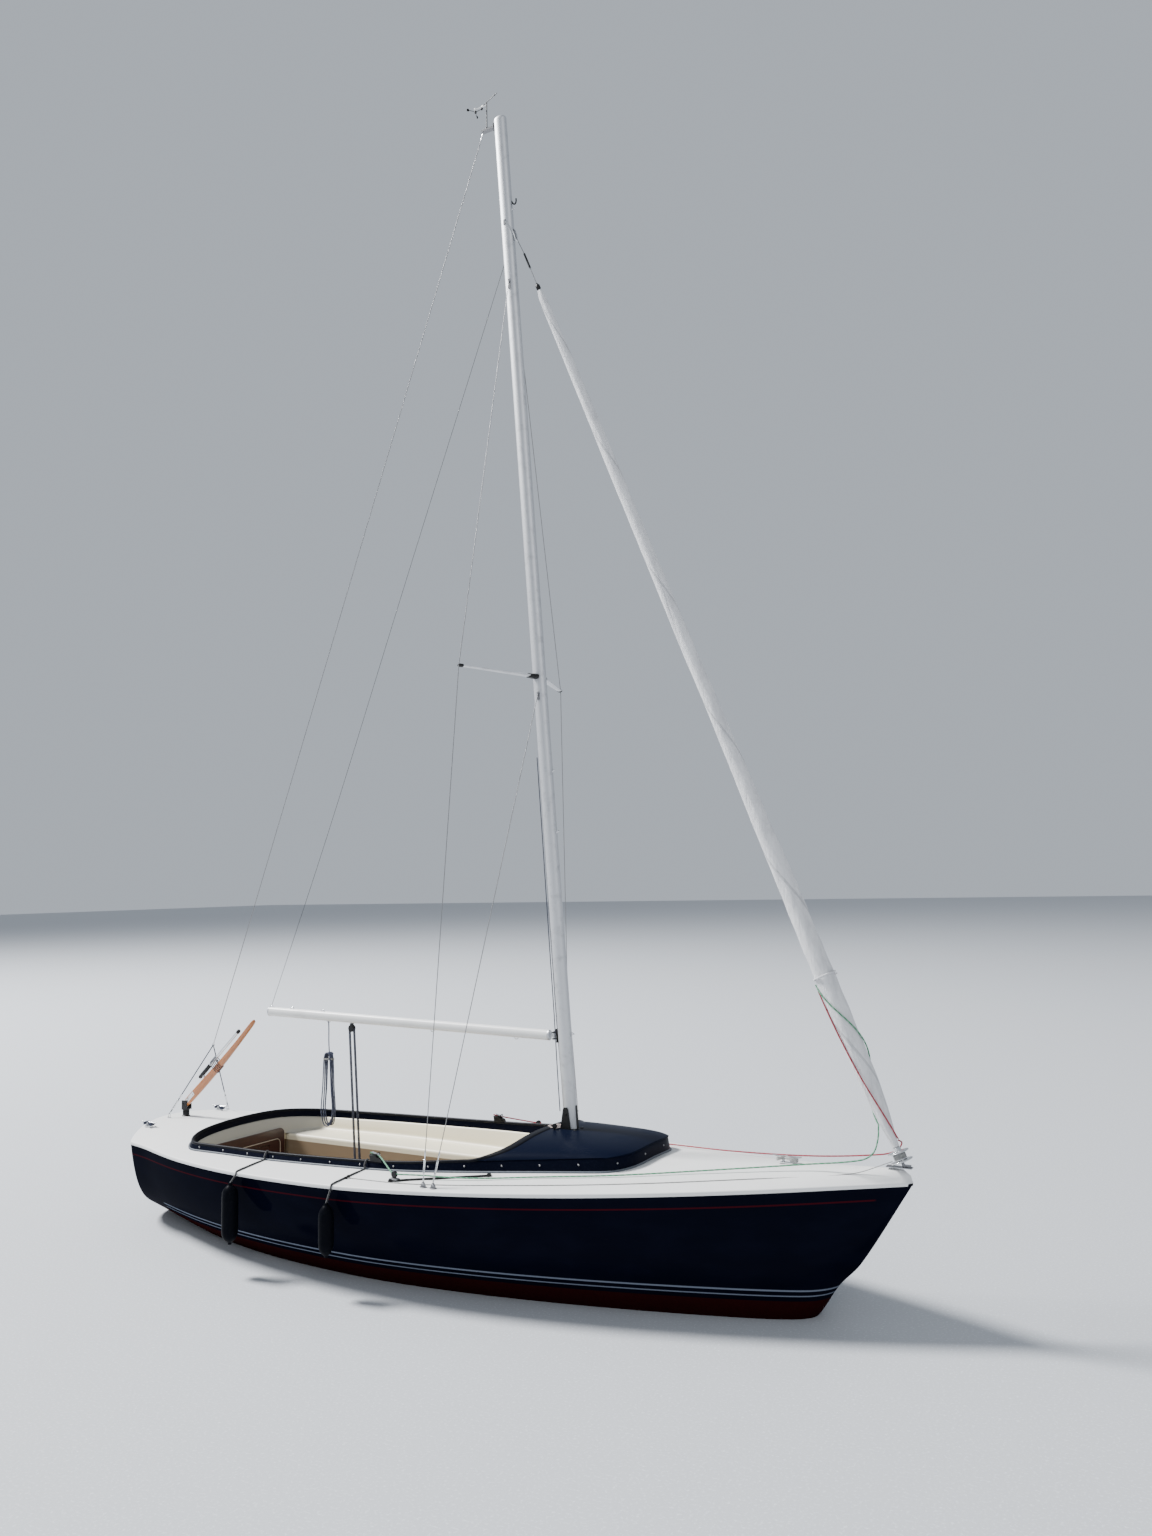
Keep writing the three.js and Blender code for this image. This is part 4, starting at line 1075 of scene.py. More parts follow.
@dataclass
class Cuddy:
    """The crowned shell over the front of the cockpit.

    Attributes:
        aft: x of the middle of its arched aft edge.
        front: x of its front.
        wing: x of the ends of the aft edge.
        lip: Width of the padded lip along the aft edge.
    """

    aft: float = 0.694
    front: float = 1.521
    wing: float = 0.484
    lip: float = 0.055

    def points(self, s: Array, v: Array) -> Array:
        """The top: band top + rise (1 - |v|^3.4)(1 - s^9) + shoulder (1 - |v|^12)(1 - s^16).

        Args:
            s: From nought at the aft edge to one at the front.
            v: From -1 at starboard to 1 at port.
        """
        s, v = s[:, None], v[None]
        edge_x = self.wing + (1.39 - self.wing) * s
        edge_y = LINES.coaming_half(np.minimum(edge_x, 1.39)) - LINES.lean - 0.002
        middle = self.aft + (self.front - self.aft) * s
        away = np.abs(v)
        x = middle + (edge_x - middle) * away ** (8 - 3 * s)
        y = v * edge_y
        rise = np.maximum(0, LINES.cuddy_top(x) - LINES.band_top(x, 0 * y))
        z = LINES.band_top(x, y) + rise * (1 - away**3.4) * (1 - s**9) + 0.013 * (1 - away**12) * (1 - s**16)
        return stack(x, y, z + 0.002)

    def build(self) -> None:
        """Makes the shell and the padded lip along its aft edge."""
        grid = Form.grid(self.points(np.linspace(0, 1, 90), np.sin(np.linspace(-1, 1, 121) * np.pi / 2)))
        show(grid, "cuddy_shell", CUDDY, stands_for=["cuddy"], shell=0.006, smooth=60)
        rows = [(0, -0.006, -0.02), (0, -0.0105, -0.006), (0.01, -0.008, 0.004), (0.08, -0.001, 0.0085)]
        rows += [(0.3, 0.0, 0.0105), (0.7, 0.0, 0.0105), (0.92, 0.0, 0.0085), (0.99, 0.003, 0.004)]
        rows.append((1.0, 0.004, -0.002))
        share, ahead, up = np.array(rows).T
        across = np.sin(np.linspace(-1, 1, 181) * np.pi / 2)
        strip = self.points(share * self.lip / (self.front - self.aft), across)
        show(Form.grid(strip + stack(ahead, 0, up)[:, None]), "cuddy_lip", BEAD, smooth=70)


@dataclass
class Cockpit:
    """The moulded liner with its benches and footwell, and the mahogany panel.

    Attributes:
        seat: Height of the benches.
        sole: Height of the footwell's floor.
        well: Half breadth of the footwell.
        aft: x of the aft wall.
    """

    seat: float = 0.6
    sole: float = 0.18
    well: float = 0.43
    aft: float = -2.2155

    def walls(self) -> Form:
        """The upper walls, from under the coaming to a knee of radius 32 mm on the benches.

        Across the aft wall the knee's radius is nought, and the front is left open.
        """
        plan, inward = (rows[LINES.loop()[0][:, 0] < 1.2] for rows in LINES.loop())
        top = LINES.band_top(*plan.T) - LINES.coaming_height(plan[:, 0]) - 0.008
        inset = 0.058 + 0.0165 * np.maximum(0, inward[:, 0]) ** 2
        bench = np.clip((np.abs(plan[:, 1]) - 0.43) / 0.05, 0, 1)
        knee = 0.032 * np.where(inward[:, 0] > 0.5, bench, 1.0)
        rows = [(0.0355, top), (0.0315 + 0.15 * inset, top - 0.012)]
        rows += [(0.0108 + 0.7 * inset, 0.672), (inset, 0.64)]
        for a in np.linspace(0, np.pi / 2, 9)[1:]:
            rows.append((inset + knee * (1 - np.cos(a)), self.seat + 0.0325 * (1 - np.sin(a)) + 0.0008))
        rows = [stack(*(plan + inward * (0 * knee + away)[:, None]).T, z) for away, z in rows]
        return Form.grid(np.stack(rows))

    def section(self, floor: Array) -> Array:
        """Half a section of benches and footwell as (breadth, height) for each floor height."""
        seat, well, floor = self.seat, self.well, floor[:, None]
        cos, sin = (1 - wave(np.linspace(0, np.pi / 2, 9)) for wave in (np.cos, np.sin))
        parts = [
            (well + 0.024 + np.linspace(1, 0.08, 6) * 0.3, seat),
            (well + 0.024 * sin, seat - np.minimum(0.024, seat - floor) * cos),
            (well - 0.01 - 0.03 * cos, floor + np.minimum(0.03, seat - floor) * sin),
            ((well - 0.04) * np.linspace(0.9, 0, 5), floor),
        ]
        return np.concatenate([stack(y + 0 * floor, z, 0)[..., :2] for y, z in parts], 1)

    def benches(self) -> Form:
        """Benches and footwell as sections along the boat, with a rounded front end of the well."""
        spans = [(self.aft, 0.87, 60), (0.88, 0.905, 12), (0.93, 1.25, 8)]
        x = np.concatenate([np.linspace(*span) for span in spans])
        end = np.clip((x - 0.875) / 0.03, 0, 1)
        floor = self.sole + (self.seat - 0.0005 - self.sole) * (1 - np.sqrt(np.maximum(0, 1 - end**2)))
        y, z = np.moveaxis(self.section(floor), -1, 0)
        reach = LINES.coaming_half(np.clip(x, -2.07, 1.39)) - 0.05
        y = np.where(z >= self.seat, np.minimum(y, reach[:, None]), y)
        y[:, 0] = reach
        right, left = stack(x[:, None], -y, z), stack(x[:, None], y, z)
        return Form.grid(np.concatenate([right, left[:, -2::-1]], 1))

    @staticmethod
    def wall(x: float, half: float, low: float, high: float, levels: int) -> Form:
        """A flat wall across the boat."""
        y, z = np.linspace(-half, half, 20), np.linspace(low, high, levels)[:, None]
        return Form.grid(stack(x, y, z))

    @staticmethod
    def frame_line(x: float, low: Pair, high: Pair, corner: float) -> Array:
        """A rounded rectangle across the boat at x, between two corners (y, z)."""
        turn = np.linspace(0, np.pi / 2, 8)
        left, right = low[0] + corner, high[0] - corner
        foot, head = low[1] + corner, high[1] - corner
        arcs = [
            (right, head, 0.0), (left, head, 0.5 * np.pi), (left, foot, np.pi), (right, foot, 1.5 * np.pi)
        ]
        rows = [stack(x, y + corner * np.cos(turn + a), z + corner * np.sin(turn + a)) for y, z, a in arcs]
        return np.vstack(rows)

    def panel(self) -> Form:
        """The mahogany panel: a board with rounded corners and the door's opening."""
        (low, high), (door_low, door_high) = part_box("locker_panel"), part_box("locker_door")
        outer = ((low.y, low.z), (high.y, high.z), 0.055)
        gap = 0.0055
        inner = ((door_low.y - gap, door_low.z - gap), (door_high.y + gap, door_high.z + gap), 0.012)
        rings = [(low.x, outer), (high.x, outer), (high.x, inner), (low.x, inner)]
        return Form.grid(np.stack([self.frame_line(x, *ring) for x, ring in rings]), True, True)

    def build(self, frame: dict) -> None:
        """Makes the liner and the panel, and dresses the door."""
        aft = self.wall(self.aft, 0.47, self.sole - 0.002, 0.665, 14)
        front = self.wall(1.25, 0.42, self.seat - 0.01, 0.86, 10)
        liner = joined([self.walls(), self.benches(), aft, front])
        show(liner, "liner_mould", CREAM, stands_for=["cockpit_liner"], shell=0.002, smooth=45)
        show(self.panel(), "panel_board", MAHOGANY, stands_for=["locker_panel"], bevel=0.003)
        dress(frame, "locker_door", MAHOGANY, 0.003)
        face = float(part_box("locker_panel")[1].x) + 0.001
        ring = self.frame_line(face, (-0.352, 0.262), (0.352, 0.572), 0.045)
        show(Form.tube(ring, 0.0035, 8, True), "panel_line", LINE, smooth=80)


def foil(rows: Sequence[tuple[float, float, float, float]], levels: int = 24) -> Form:
    """A fin whose sections have the thickness 2.969 sqrt(c) - 1.26 c - 3.516 c^2 + 2.843 c^3 - 1.036 c^4.

    Args:
        rows: Height, leading x, trailing x and half thickness, the highest first.
        levels: Sections between the first and the last height.
    """
    z, *table = np.array(rows, float).T
    at = np.linspace(z[0], z[-1], levels)
    lead, trail, half = (np.interp(-at, -z, v)[:, None] for v in table)
    c = (1 - np.cos(around(64))) / 2
    width = 2.969 * np.sqrt(c) - 1.26 * c - 3.516 * c**2 + 2.843 * c**3 - 1.036 * c**4
    y = half * width * np.sign(np.sin(around(64)))
    return Form.grid(stack(lead - (lead - trail) * c, y, at[:, None]), True, capped=True)


@dataclass
class Foils:
    """Keel, skeg and the rudder's blade with its stock.

    Attributes:
        stock_x: x of the rudder stock.
        stock: Radius of the stock.
    """

    stock_x: float = -2.95
    stock: float = 0.016

    def build(self) -> None:
        """Makes the three fins."""
        keel = [(-0.15, 1.15, -0.78, 0.042), (-0.4, 1.04, -0.74, 0.045), (-0.64, 0.9, -0.69, 0.052)]
        show(foil([*keel, (-0.75, 0.85, -0.67, 0.055)]), "keel_fin", IRON, stands_for=["keel"], bevel=0.01)
        skeg = [(0.06, -1.75, -2.835, 0.016), (-0.25, -2.15, -2.838, 0.018), (-0.56, -2.56, -2.842, 0.018)]
        show(foil(skeg), "skeg_fin", IRON, stands_for=["skeg"], bevel=0.006)
        blade = foil([(-0.048, -2.872, -3.17, 0.02), (-0.3, -2.872, -3.2, 0.022), (-0.6, -2.88, -3.17, 0.02)])
        shaft = Form.lathe([(0, -0.06), (self.stock, -0.058), (self.stock, 0.804), (0, 0.806)], 32)
        blade = blade + shaft.shifted((self.stock_x, 0, 0))
        show(blade, "rudder_blade", BLADE, "rudder", ["rudder"], bevel=0.006)


@dataclass
class Steering:
    """Rudder head, tiller and its extension.

    Attributes:
        pivot: x and z of the tiller's pin.
        tip: x and z of the tiller's tip.
    """

    pivot: Pair = (-2.95, 0.862)
    tip: Pair = (-2.15, 1.595)

    @property
    def reach(self) -> Array:
        """From the pin to the tip, as (x, z)."""
        return np.subtract(self.tip, self.pivot)

    @property
    def frame(self) -> Array:
        """The tiller's frame: x along it, z over it."""
        return pitched(self.pivot, *self.reach)

    def stick(self) -> Form:
        """The tiller: |cos|^0.72 rounded sections whose depth and width come from a table."""
        length = math.hypot(*self.reach)
        rows = [(-24, 0, 40, 36), (30, 0, 62, 38), (220, -6, 68, 38), (520, -14, 58, 36), (820, -10, 44, 32)]
        rows += [(length * 1000 - 40, 0, 36, 28), (length * 1000, 2, 26, 21)]
        bend, deep, wide = (Curve([(r[0], r[k]) for r in rows]) for k in (1, 2, 3))
        x = np.concatenate([[-0.0238], np.linspace(-0.024, length - 0.004, 90), [length - 0.0008]])[:, None]
        pinch = np.ones_like(x)
        pinch[[0, 1, -2, -1], 0] = 0.8, 0.94, 0.9, 0.6
        y = wide(x) / 2 * pinch * squared(np.cos(around(40)), 0.72)
        z = bend(x) + deep(x) / 2 * pinch * squared(np.sin(around(40)), 0.72)
        return Form.grid(stack(x, y, z), True, capped=True).placed(self.frame)

    def fork(self) -> Form:
        """Two straps and bolts that hold the heel in the rudder head."""
        straps = Form.block((-0.03, 0.0192, -0.017), (0.15, 0.0215, 0.017)).paired()
        bolt = Form.spool(mm([(0, 26.2), (6.2, 25.8), (6.8, 21)]), 12)
        bolts = bolt.copies([frame_of((x, 0, 0), ACROSS) for x in (0, 0.06, 0.125)])
        return (straps + bolts).placed(self.frame)

    def lashing(self) -> Array:
        """The line that lashes the extension to the tiller: five turns that climb it."""
        turn = np.linspace(0, 10 * np.pi, 160)
        x = 0.46 + 0.018 * turn / TURN
        return carried(stack(x, 0.025 * np.cos(turn), 0.014 + 0.062 * np.sin(turn)), self.frame)

    def extension(self) -> tuple[Form, Form]:
        """The extension's tube with its post, and its grip and cap."""
        low, high = carried(mm([(285, 0, 59), (890, 0, 54)]), self.frame)
        ahead = unit(high - low)
        tube = Form.tube(np.linspace(low + 0.004 * ahead, high - 0.004 * ahead, 12), 0.0125, 24)
        post = Form.lathe(mm([(0, 20), (9, 21), (9, 58), (0, 59)]), 16)
        grip = [(0, -12), (13, -10), (17, 0), (17, 150), (13.5, 160), (12.8, 161)]
        cap = [(0, -8), (11, -7), (15.5, 0), (15.5, 20), (12.8, 24)]
        ends = Form.lathe(mm(grip), 24).placed(frame_of(low, ahead, ACROSS))
        ends = ends + Form.lathe(mm(cap), 24).placed(frame_of(high, -ahead, ACROSS))
        return tube + post.shifted((0.32, 0, 0)).placed(self.frame), ends

    def build(self, frame: dict) -> None:
        """Makes the tiller and what it carries."""
        dress(frame, "rudder_head", BLACK, 0.003)
        rows = [(18.5, 757), (34, 757), (34, 763), (28, 767), (28, 800), (25.5, 803)]
        sleeve = Form.lathe(mm([*rows, (18.5, 803)])).shifted((self.pivot[0], 0, 0))
        show(sleeve, "stock_sleeve", BLACK, smooth=45)
        show(self.stick(), "tiller_stick", VARNISH, "tiller", ["tiller"], smooth=50)
        show(self.fork(), "tiller_fork", STEEL, "tiller", bevel=0.001)
        tube, ends = self.extension()
        show(tube, "extension_stick", TUBE, "tiller", ["tiller_extension"], smooth=60)
        show(ends, "extension_grips", BLACK, "tiller", smooth=50)
        rope(self.lashing(), 0.0032, "tiller_lashing", NAVY_ROPE, "tiller")


@dataclass
class Mast:
    """The mast with its groove, fittings and spreaders.

    Attributes:
        foot: x and z of its foot.
        rake: Its lean aft, in degrees.
        length: Its length.
        deep: Its size fore and aft.
        wide: Its size across.
        upper: Height of the upper shrouds' tangs.
        lower: Height of the lower shrouds' tangs.
        hound: Height of the forestay's bolt.
        crosstree: Height of the spreaders' roots.
    """

    foot: Pair = (0.887, 0.98)
    rake: float = 3.535
    length: float = 7.69
    deep: float = 0.105
    wide: float = 0.072
    upper: float = 7.27
    lower: float = 4.06
    hound: float = 7.77
    crosstree: float = 4.19

    @property
    def frame(self) -> Array:
        """The mast's frame: z along it, x forward."""
        angle = math.radians(self.rake)
        return pitched(self.foot, math.cos(angle), math.sin(angle))

    def up(self, z: float) -> float:
        """The distance from the foot at which the mast is z high."""
        return (z - self.foot[1]) / self.frame[2, 2]

    def at(self, z: float, fore: float = 0.0, y: float = 0.0) -> Array:
        """A point beside the mast at height z."""
        return (self.frame @ (fore, y, self.up(z), 1))[:3]

    def tube(self) -> Form:
        """The section: an oval whose aft end has a groove of 8 mm, up to a domed top."""
        turn, bend = around(96), np.linspace(0, 1.45, 12)
        rise = [np.linspace(0, self.length - 0.027, 60), self.length - 0.026 + 0.026 * np.sin(bend)]
        slim = np.concatenate([np.ones(60), 0.6 + 0.4 * np.cos(bend)])[:, None]
        groove = 0.009 * np.exp(-(((turn - np.pi) / 0.07) ** 4))
        x = (self.deep / 2 - groove) * np.cos(turn) * slim
        y = self.wide / 2 * squared(np.sin(turn), 0.92) * slim
        return Form.grid(stack(x, y, np.concatenate(rise)[:, None]), True, capped=True).placed(self.frame)

    def tang(self, z: float, fore: float, size: float) -> Form:
        """A plate on each side of the mast with its bolt."""
        y = self.wide / 2
        plate = Form.block((fore - 0.011, y - 0.004, -size), (fore + 0.011, y + 0.0022, size * 0.4))
        bolt = Form.lathe(mm([(0, 7.5), (6, 7), (8.5, 3), (8.5, 0)]), 12)
        both = (plate + bolt.placed(frame_of((fore, y + 0.0015, 0), ACROSS))).paired()
        return both.shifted((0, 0, self.up(z))).placed(self.frame)

    def hounds(self) -> Form:
        """The forestay's fork: an arm on each side from a bolt down to the stay's pin."""
        made = Form.spool(mm([(0, 21), (6, 20)]), 12).placed(frame_of(self.at(7.605, 0.068), ACROSS))
        for side in Side:
            y = side.value * (self.wide / 2 + 0.004)
            points = [(self.hound, -0.005, y), (7.72, 0.03, y), (7.66, 0.058, y * 0.7)]
            points.append((7.6, 0.068, y * 0.35))
            made = made + Form.tube(spline([self.at(*p) for p in points], 0.006), 0.0055)
        return made

    def halyards(self) -> None:
        """The lines that come down the mast to its foot."""
        aft = -self.deep / 2
        for name, y, top in (("halyard_port", 0.012, 7.5), ("halyard_starboard", -0.016, 3.6)):
            points = [(top, aft - 0.008, y)]
            points += [(z, aft - 0.009 - 0.006 * math.sin(z), y) for z in (3.0, 2.2, 1.75)]
            points += [(1.4, aft - 0.014, y * 1.6), (1.1, aft - 0.012, y * 2)]
            rope(spline([self.at(*p) for p in points], 0.03), 0.0036, name, NAVY_ROPE, sides=6)

    def foot_gear(self) -> None:
        """The step's pin, turning blocks and the coiled line at the foot of the mast."""
        top = float(LINES.cuddy_top(self.foot[0])) + 0.018
        pin = Form.spool(mm([(0, 52), (7, 51)]), 14).placed(frame_of((0.868, 0, top + 0.1), ACROSS))
        collar = Form.lathe(mm([(0, 4), (11.5, 4), (11.5, 0), (0, 0)]), 14)
        collars = collar.copies([frame_of((x, y, top)) for x in (0.802, 0.943) for y in (-0.05, 0.05)])
        strip = Form.block((0.0515, -0.012, 0), (0.0545, 0.012, 0.155)).placed(self.frame)
        show(joined([pin, collars, strip]), "step_pins", BLACK, bevel=0.0008)
        turn = np.linspace(0, 5 * np.pi, 150)
        radius = 0.036 + 0.0096 * turn / TURN
        x, y = 0.755 + radius * 1.1 * np.cos(turn), 0.012 + radius * 0.95 * np.sin(turn)
        z = top - 0.0015 + 0.003 * (1 + np.sin(turn * 2.3))
        rope(stack(x, y, z), 0.0042, "foot_line", PALE_ROPE)
        frames = [frame_of((0.80, y, top - 0.004)) for y in (0.085, -0.085)]
        blocks = sheave_block(0.017, 0.014).copies(frames)
        show(blocks, "foot_blocks", BLACK, smooth=50)

    def step(self) -> Form:
        """The step: a plate with an upright on each side that narrows towards its head."""
        low = float(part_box("mast_step")[0].z)
        plate = [(800, -62), (945, -62), (955, -52), (955, 52), (945, 62), (800, 62)]
        plate = Form.prism(mm([*plate, (790, 52), (790, -52)]), low, low + 0.014)
        view = [(820, 8), (905, 8), (885, 150), (877, 165), (852, 165), (844, 150)]
        cheek = Form.prism(mm(view), -0.045, -0.038).placed(frame_of((0, 0, low), (0, -1, 0)))
        return plate + cheek.paired()

    def spreader(self, side: Side) -> Form:
        """A wing section that narrows from 66 to 36 mm, from the root to the tip."""
        root = self.at(self.crosstree, -0.008, side.value * (self.wide / 2 + 0.0008))
        t = np.linspace(0, 1, 24)[:, None]
        chord = np.interp(t, [0, 0.08, 0.95, 1], [0.066, 0.062, 0.040, 0.034])
        thick = np.interp(t, [0, 0.08, 0.95, 1], [0.022, 0.020, 0.015, 0.012])
        cos, sin = np.cos(around(32)), np.sin(around(32))
        wing = stack(chord / 2 * cos, 0.0, thick / 2 * sin * (1 - 0.25 * cos))
        return Form.grid(root + (self.spreader_tip(side) - root) * t[..., None] + wing, True, capped=True)

    @staticmethod
    def spreader_tip(side: Side, y: float = 0.685) -> Array:
        """A point at a spreader's tip."""
        return np.array([0.458, side.value * y, 4.2])

    def spreader_boots(self, side: Side) -> Form:
        """The socket at a spreader's root and the boot on its tip."""
        root = self.at(self.crosstree, -0.008, side.value * (self.wide / 2 - 0.002))
        out = unit(self.spreader_tip(side) - root)
        socket = Form.lathe(mm([(0, 0), (20, 1), (20, 30), (16.5, 75), (0, 76)]), 24)
        boot = Form.lathe(mm([(0, -12), (9, -10), (12.5, 0), (12.5, 22), (0, 24)]), 20)
        boot = boot.placed(frame_of(self.spreader_tip(side, 0.679), -out) @ np.diag([1.6, 1, 1, 1]))
        return socket.placed(frame_of(root, out) @ np.diag([1.8, 1, 1, 1])) + boot

    def build(self, frame: dict) -> None:
        """Makes the mast and its fittings."""
        show(self.tube(), "mast_section", SPAR, stands_for=["mast"], smooth=30)
        show(self.step(), "step_bracket", BLACK, stands_for=["mast_step"], bevel=0.002)
        dress(frame, "masthead_crane", DULL, 0.003)
        tangs = [(self.upper, 0, 0.055), (self.lower, 0, 0.045), (self.hound, -0.005, 0.03)]
        show(joined([self.tang(*row) for row in tangs]), "mast_tangs", DULL, bevel=0.001)
        show(self.hounds(), "forestay_fork", STEEL, smooth=60)
        self.halyards()
        self.foot_gear()
        for side in Side:
            name = f"spreader_{side.word}"
            show(self.spreader(side), f"{name}_wing", SPAR, stands_for=[name], bevel=0.002)
            show(self.spreader_boots(side), f"{name}_boots", BLACK, smooth=50)
        arch = [(-0.004, -0.012, -0.012), (0.014, -0.009, 0), (0.016, 0.009, 0), (-0.004, 0.012, 0.012)]
        eye = Form.tube(spline(arch, 0.003), 0.003, 8)
        places = ((3.49, 0.055), (3.05, 0.056), (7.86, 0.056), (1.62, 0.055))
        eyes = [eye.shifted((fore, 0, self.up(z))).placed(self.frame) for z, fore in places]
        show(joined(eyes), "mast_eyes", STEEL, smooth=60)
        hook = [(7.93, 0.05), (7.9, 0.066), (7.896, 0.08), (7.91, 0.09), (7.935, 0.092)]
        hook = [self.at(*p) for p in hook]
        show(Form.tube(spline(hook, 0.004), 0.0055), "halyard_hook", BLACK, smooth=60)


def sheave_block(radius: float, width: float) -> Form:
    """A block that stands on local z: two cheeks, a grooved wheel between them and a strap below.

    Args:
        radius: Radius of the cheeks.
        width: Distance across the cheeks.
    """
    half, rim = width / 2, radius * 0.92
    plate = [(0, 1), (rim, 1), (radius, 0.75), (radius, 0.55), (0, 0.5)]
    groove = [(0, 0.4), (rim * 0.9, 0.4), (rim * 0.62, 0), (rim * 0.9, -0.4), (0, -0.4)]
    cheek, wheel = (Form.lathe(np.array(rows) * (1, half), 28) for rows in (plate, groove))
    upright = frame_of((0, 0, radius + 0.012), ACROSS)
    strap = Form.block((-radius * 0.3, -half * 0.9, 0), (radius * 0.3, half * 0.9, 0.016))
    return (cheek + wheel + cheek.placed(np.diag([1, 1, -1, 1]))).placed(upright) + strap


def horn_cleat(length: float, height: float) -> Form:
    """A horn cleat on local z: an oval plate, two waisted posts and a horn that lifts at its ends."""
    plate = Form.prism(oval(length * 0.25, 0.017, 36), 0, 0.006)
    post = Form.lathe([(0, 0), (0.012, 0.003), (0.0085, 0.012), (0.0085, height * 0.85), (0, height)], 20)
    posts = post.shifted((-length * 0.13, 0, 0)) + post.shifted((length * 0.13, 0, 0))
    x = np.linspace(-0.5, 0.5, 41)
    horn = stack(x * length, 0, height - 0.004 + 0.035 * length * (2 * np.abs(x)) ** 2.5)
    return plate + posts + Form.tube(horn, 0.0105 * (1 - 0.55 * (2 * np.abs(x)) ** 2), 14)


def cam_cleat(size: float = 0.03) -> Form:
    """A cam cleat on local z: a base, two toothed cams that face each other and a wire guide."""
    base = Form.block((-size, -size * 1.1, 0), (size, size * 1.1, size * 0.3))
    turn = around(60)
    outline = (size * 0.5 * (1 + 0.22 * np.cos(turn)) + 0.0008 * np.sign(np.sin(turn * 15)))[:, None]
    cam = Form.prism(outline * oval(1, 1, 60), size * 0.3, size * 0.85)
    cams = cam.shifted((0, size * 0.62, 0)) + cam.shifted((0, -size * 0.62, 0))
    arch = [(0.7, -1, 0.3), (0.9, -0.85, 1.2), (1.0, 0, 1.5), (0.9, 0.85, 1.2), (0.7, 1, 0.3)]
    return base + cams + Form.tube(spline(np.array(arch) * size, 0.004), 0.0028, 8)


@dataclass
class StandingRigging:
    """Shrouds and backstay with their screws and chainplates.

    Attributes:
        wire: Radius of the wires.
        plate: x of the upper and lower shrouds' feet and their y.
    """

    wire: float = 0.0028
    plate: Triple = (0.32, 0.4, 0.95)

    def screw(self, foot: Array, ahead: Array) -> Form:
        """A rigging screw from a foot along a stay: fork, stud, barrel, stud and terminal."""
        rows = [(0, 0), (5, 1), (5, 20), (3.8, 24), (3.8, 46), (7.8, 50)]
        rows += [(7.8, 62), (6.6, 66), (6.6, 118), (7.8, 122), (7.8, 134)]
        rows += [(3.8, 138), (3.8, 152), (5.2, 155), (5.2, 186), (2.8, 200), (0, 201)]
        return Form.lathe(mm(rows), 16).placed(frame_of(foot, ahead, (0, 1, 0)))

    def lugs(self, side: Side) -> Form:
        """A chainplate for each shroud: a foot plate with a lug that narrows towards its pin."""
        view = mm([(-26, 0), (26, 0), (9, 34), (0, 40), (-9, 34)])
        plate = Form.prism(oval(0.028, 0.016, 24), 0.002, 0.006)
        one = plate + Form.prism(view, -0.003, 0.003).placed(frame_of((0, 0, 0), (0, -1, 0)))
        return joined([one.shifted(foot) for foot in self.feet(side)])

    def feet(self, side: Side, up: float = 0.0) -> list[Array]:
        """The feet of the upper and the lower shroud."""
        return [LINES.on_deck(x, side.value * self.plate[2], up) for x in self.plate[:2]]

    def build(self, mast: Mast) -> None:
        """Makes the shrouds, their chainplates and the backstay."""
        for side in Side:
            word, out = side.word, side.value * (mast.wide / 2 + 0.005)
            start, low = mast.at(mast.upper, 0, out), mast.at(mast.lower, 0, out)
            tip = mast.spreader_tip(side, 0.689)
            feet = self.feet(side, 0.04)
            line = np.vstack([np.linspace(start, tip, 60), np.linspace(tip, feet[0], 60)[1:]])
            for path, name in ((line, "upper"), (np.linspace(low, feet[1], 60), "lower")):
                wire = Form.tube(path, self.wire, 8)
                show(wire, f"{name}_wire_{word}", WIRE, stands_for=[f"{name}_shroud_{word}"], smooth=80)
            screws = self.screw(feet[0], unit(tip - feet[0])) + self.screw(feet[1], unit(low - feet[1]))
            pin = Form.spool(mm([(0, 9), (4.2, 8.5)]), 10)
            pins = pin.copies([frame_of(f - (0, 0, 0.012), ACROSS) for f in feet])
            show(screws + pins, f"rigging_screws_{word}", STEEL, smooth=40)
            plates = f"chainplate_{word}"
            show(self.lugs(side), f"chainplate_lugs_{word}", DULL, stands_for=[plates], bevel=0.001)
        self.backstay()

    def backstay(self) -> None:
        """The backstay's wire, its bridle of rope, the screws on its legs and the eyes on the deck."""
        top, apex = np.array([0.25, 0, 8.577]), np.array([-2.76, 0.12, 1.35])
        ahead = unit(top - apex)
        wire = Form.tube(np.linspace(top, apex, 80), self.wire, 8)
        show(wire, "backstay_wire", WIRE, stands_for=["backstay"], smooth=80)
        swage = Form.lathe(mm([(0, 0), (4.5, 2), (4.5, 50), (2.8, 60), (0, 61)]), 14)
        parts = [swage.copies([frame_of(top, -ahead, ACROSS), frame_of(apex, ahead, ACROSS)])]
        parts.append(self.hoop(0.013, 0.013, apex, 10))
        legs = []
        for x, y in ((-3.01, 0.53), (-3.02, -0.12)):
            foot = LINES.on_deck(x, y, 0.034)
            legs.append(Form.tube(np.linspace(foot, apex, 60), 0.0046, 8))
            parts.append(Form.prism(oval(0.022, 0.012, 30), 0.003, 0.008).shifted(foot - (0, 0, 0.034)))
            parts += [self.screw(foot, unit(apex - foot)), self.hoop(0.012, 0.018, foot - (0, 0, 0.014), 8)]
        show(joined(legs), "backstay_bridle", NAVY_ROPE, smooth=80)
        show(joined(parts), "backstay_fittings", STEEL, smooth=45)

    @staticmethod
    def hoop(wide: float, high: float, middle: Array, sides: int) -> Form:
        """An oval ring of wire that stands along the boat."""
        x, z = oval(wide, high, 30).T
        return Form.tube(stack(x, 0, z) + middle, 0.0028, sides, True)


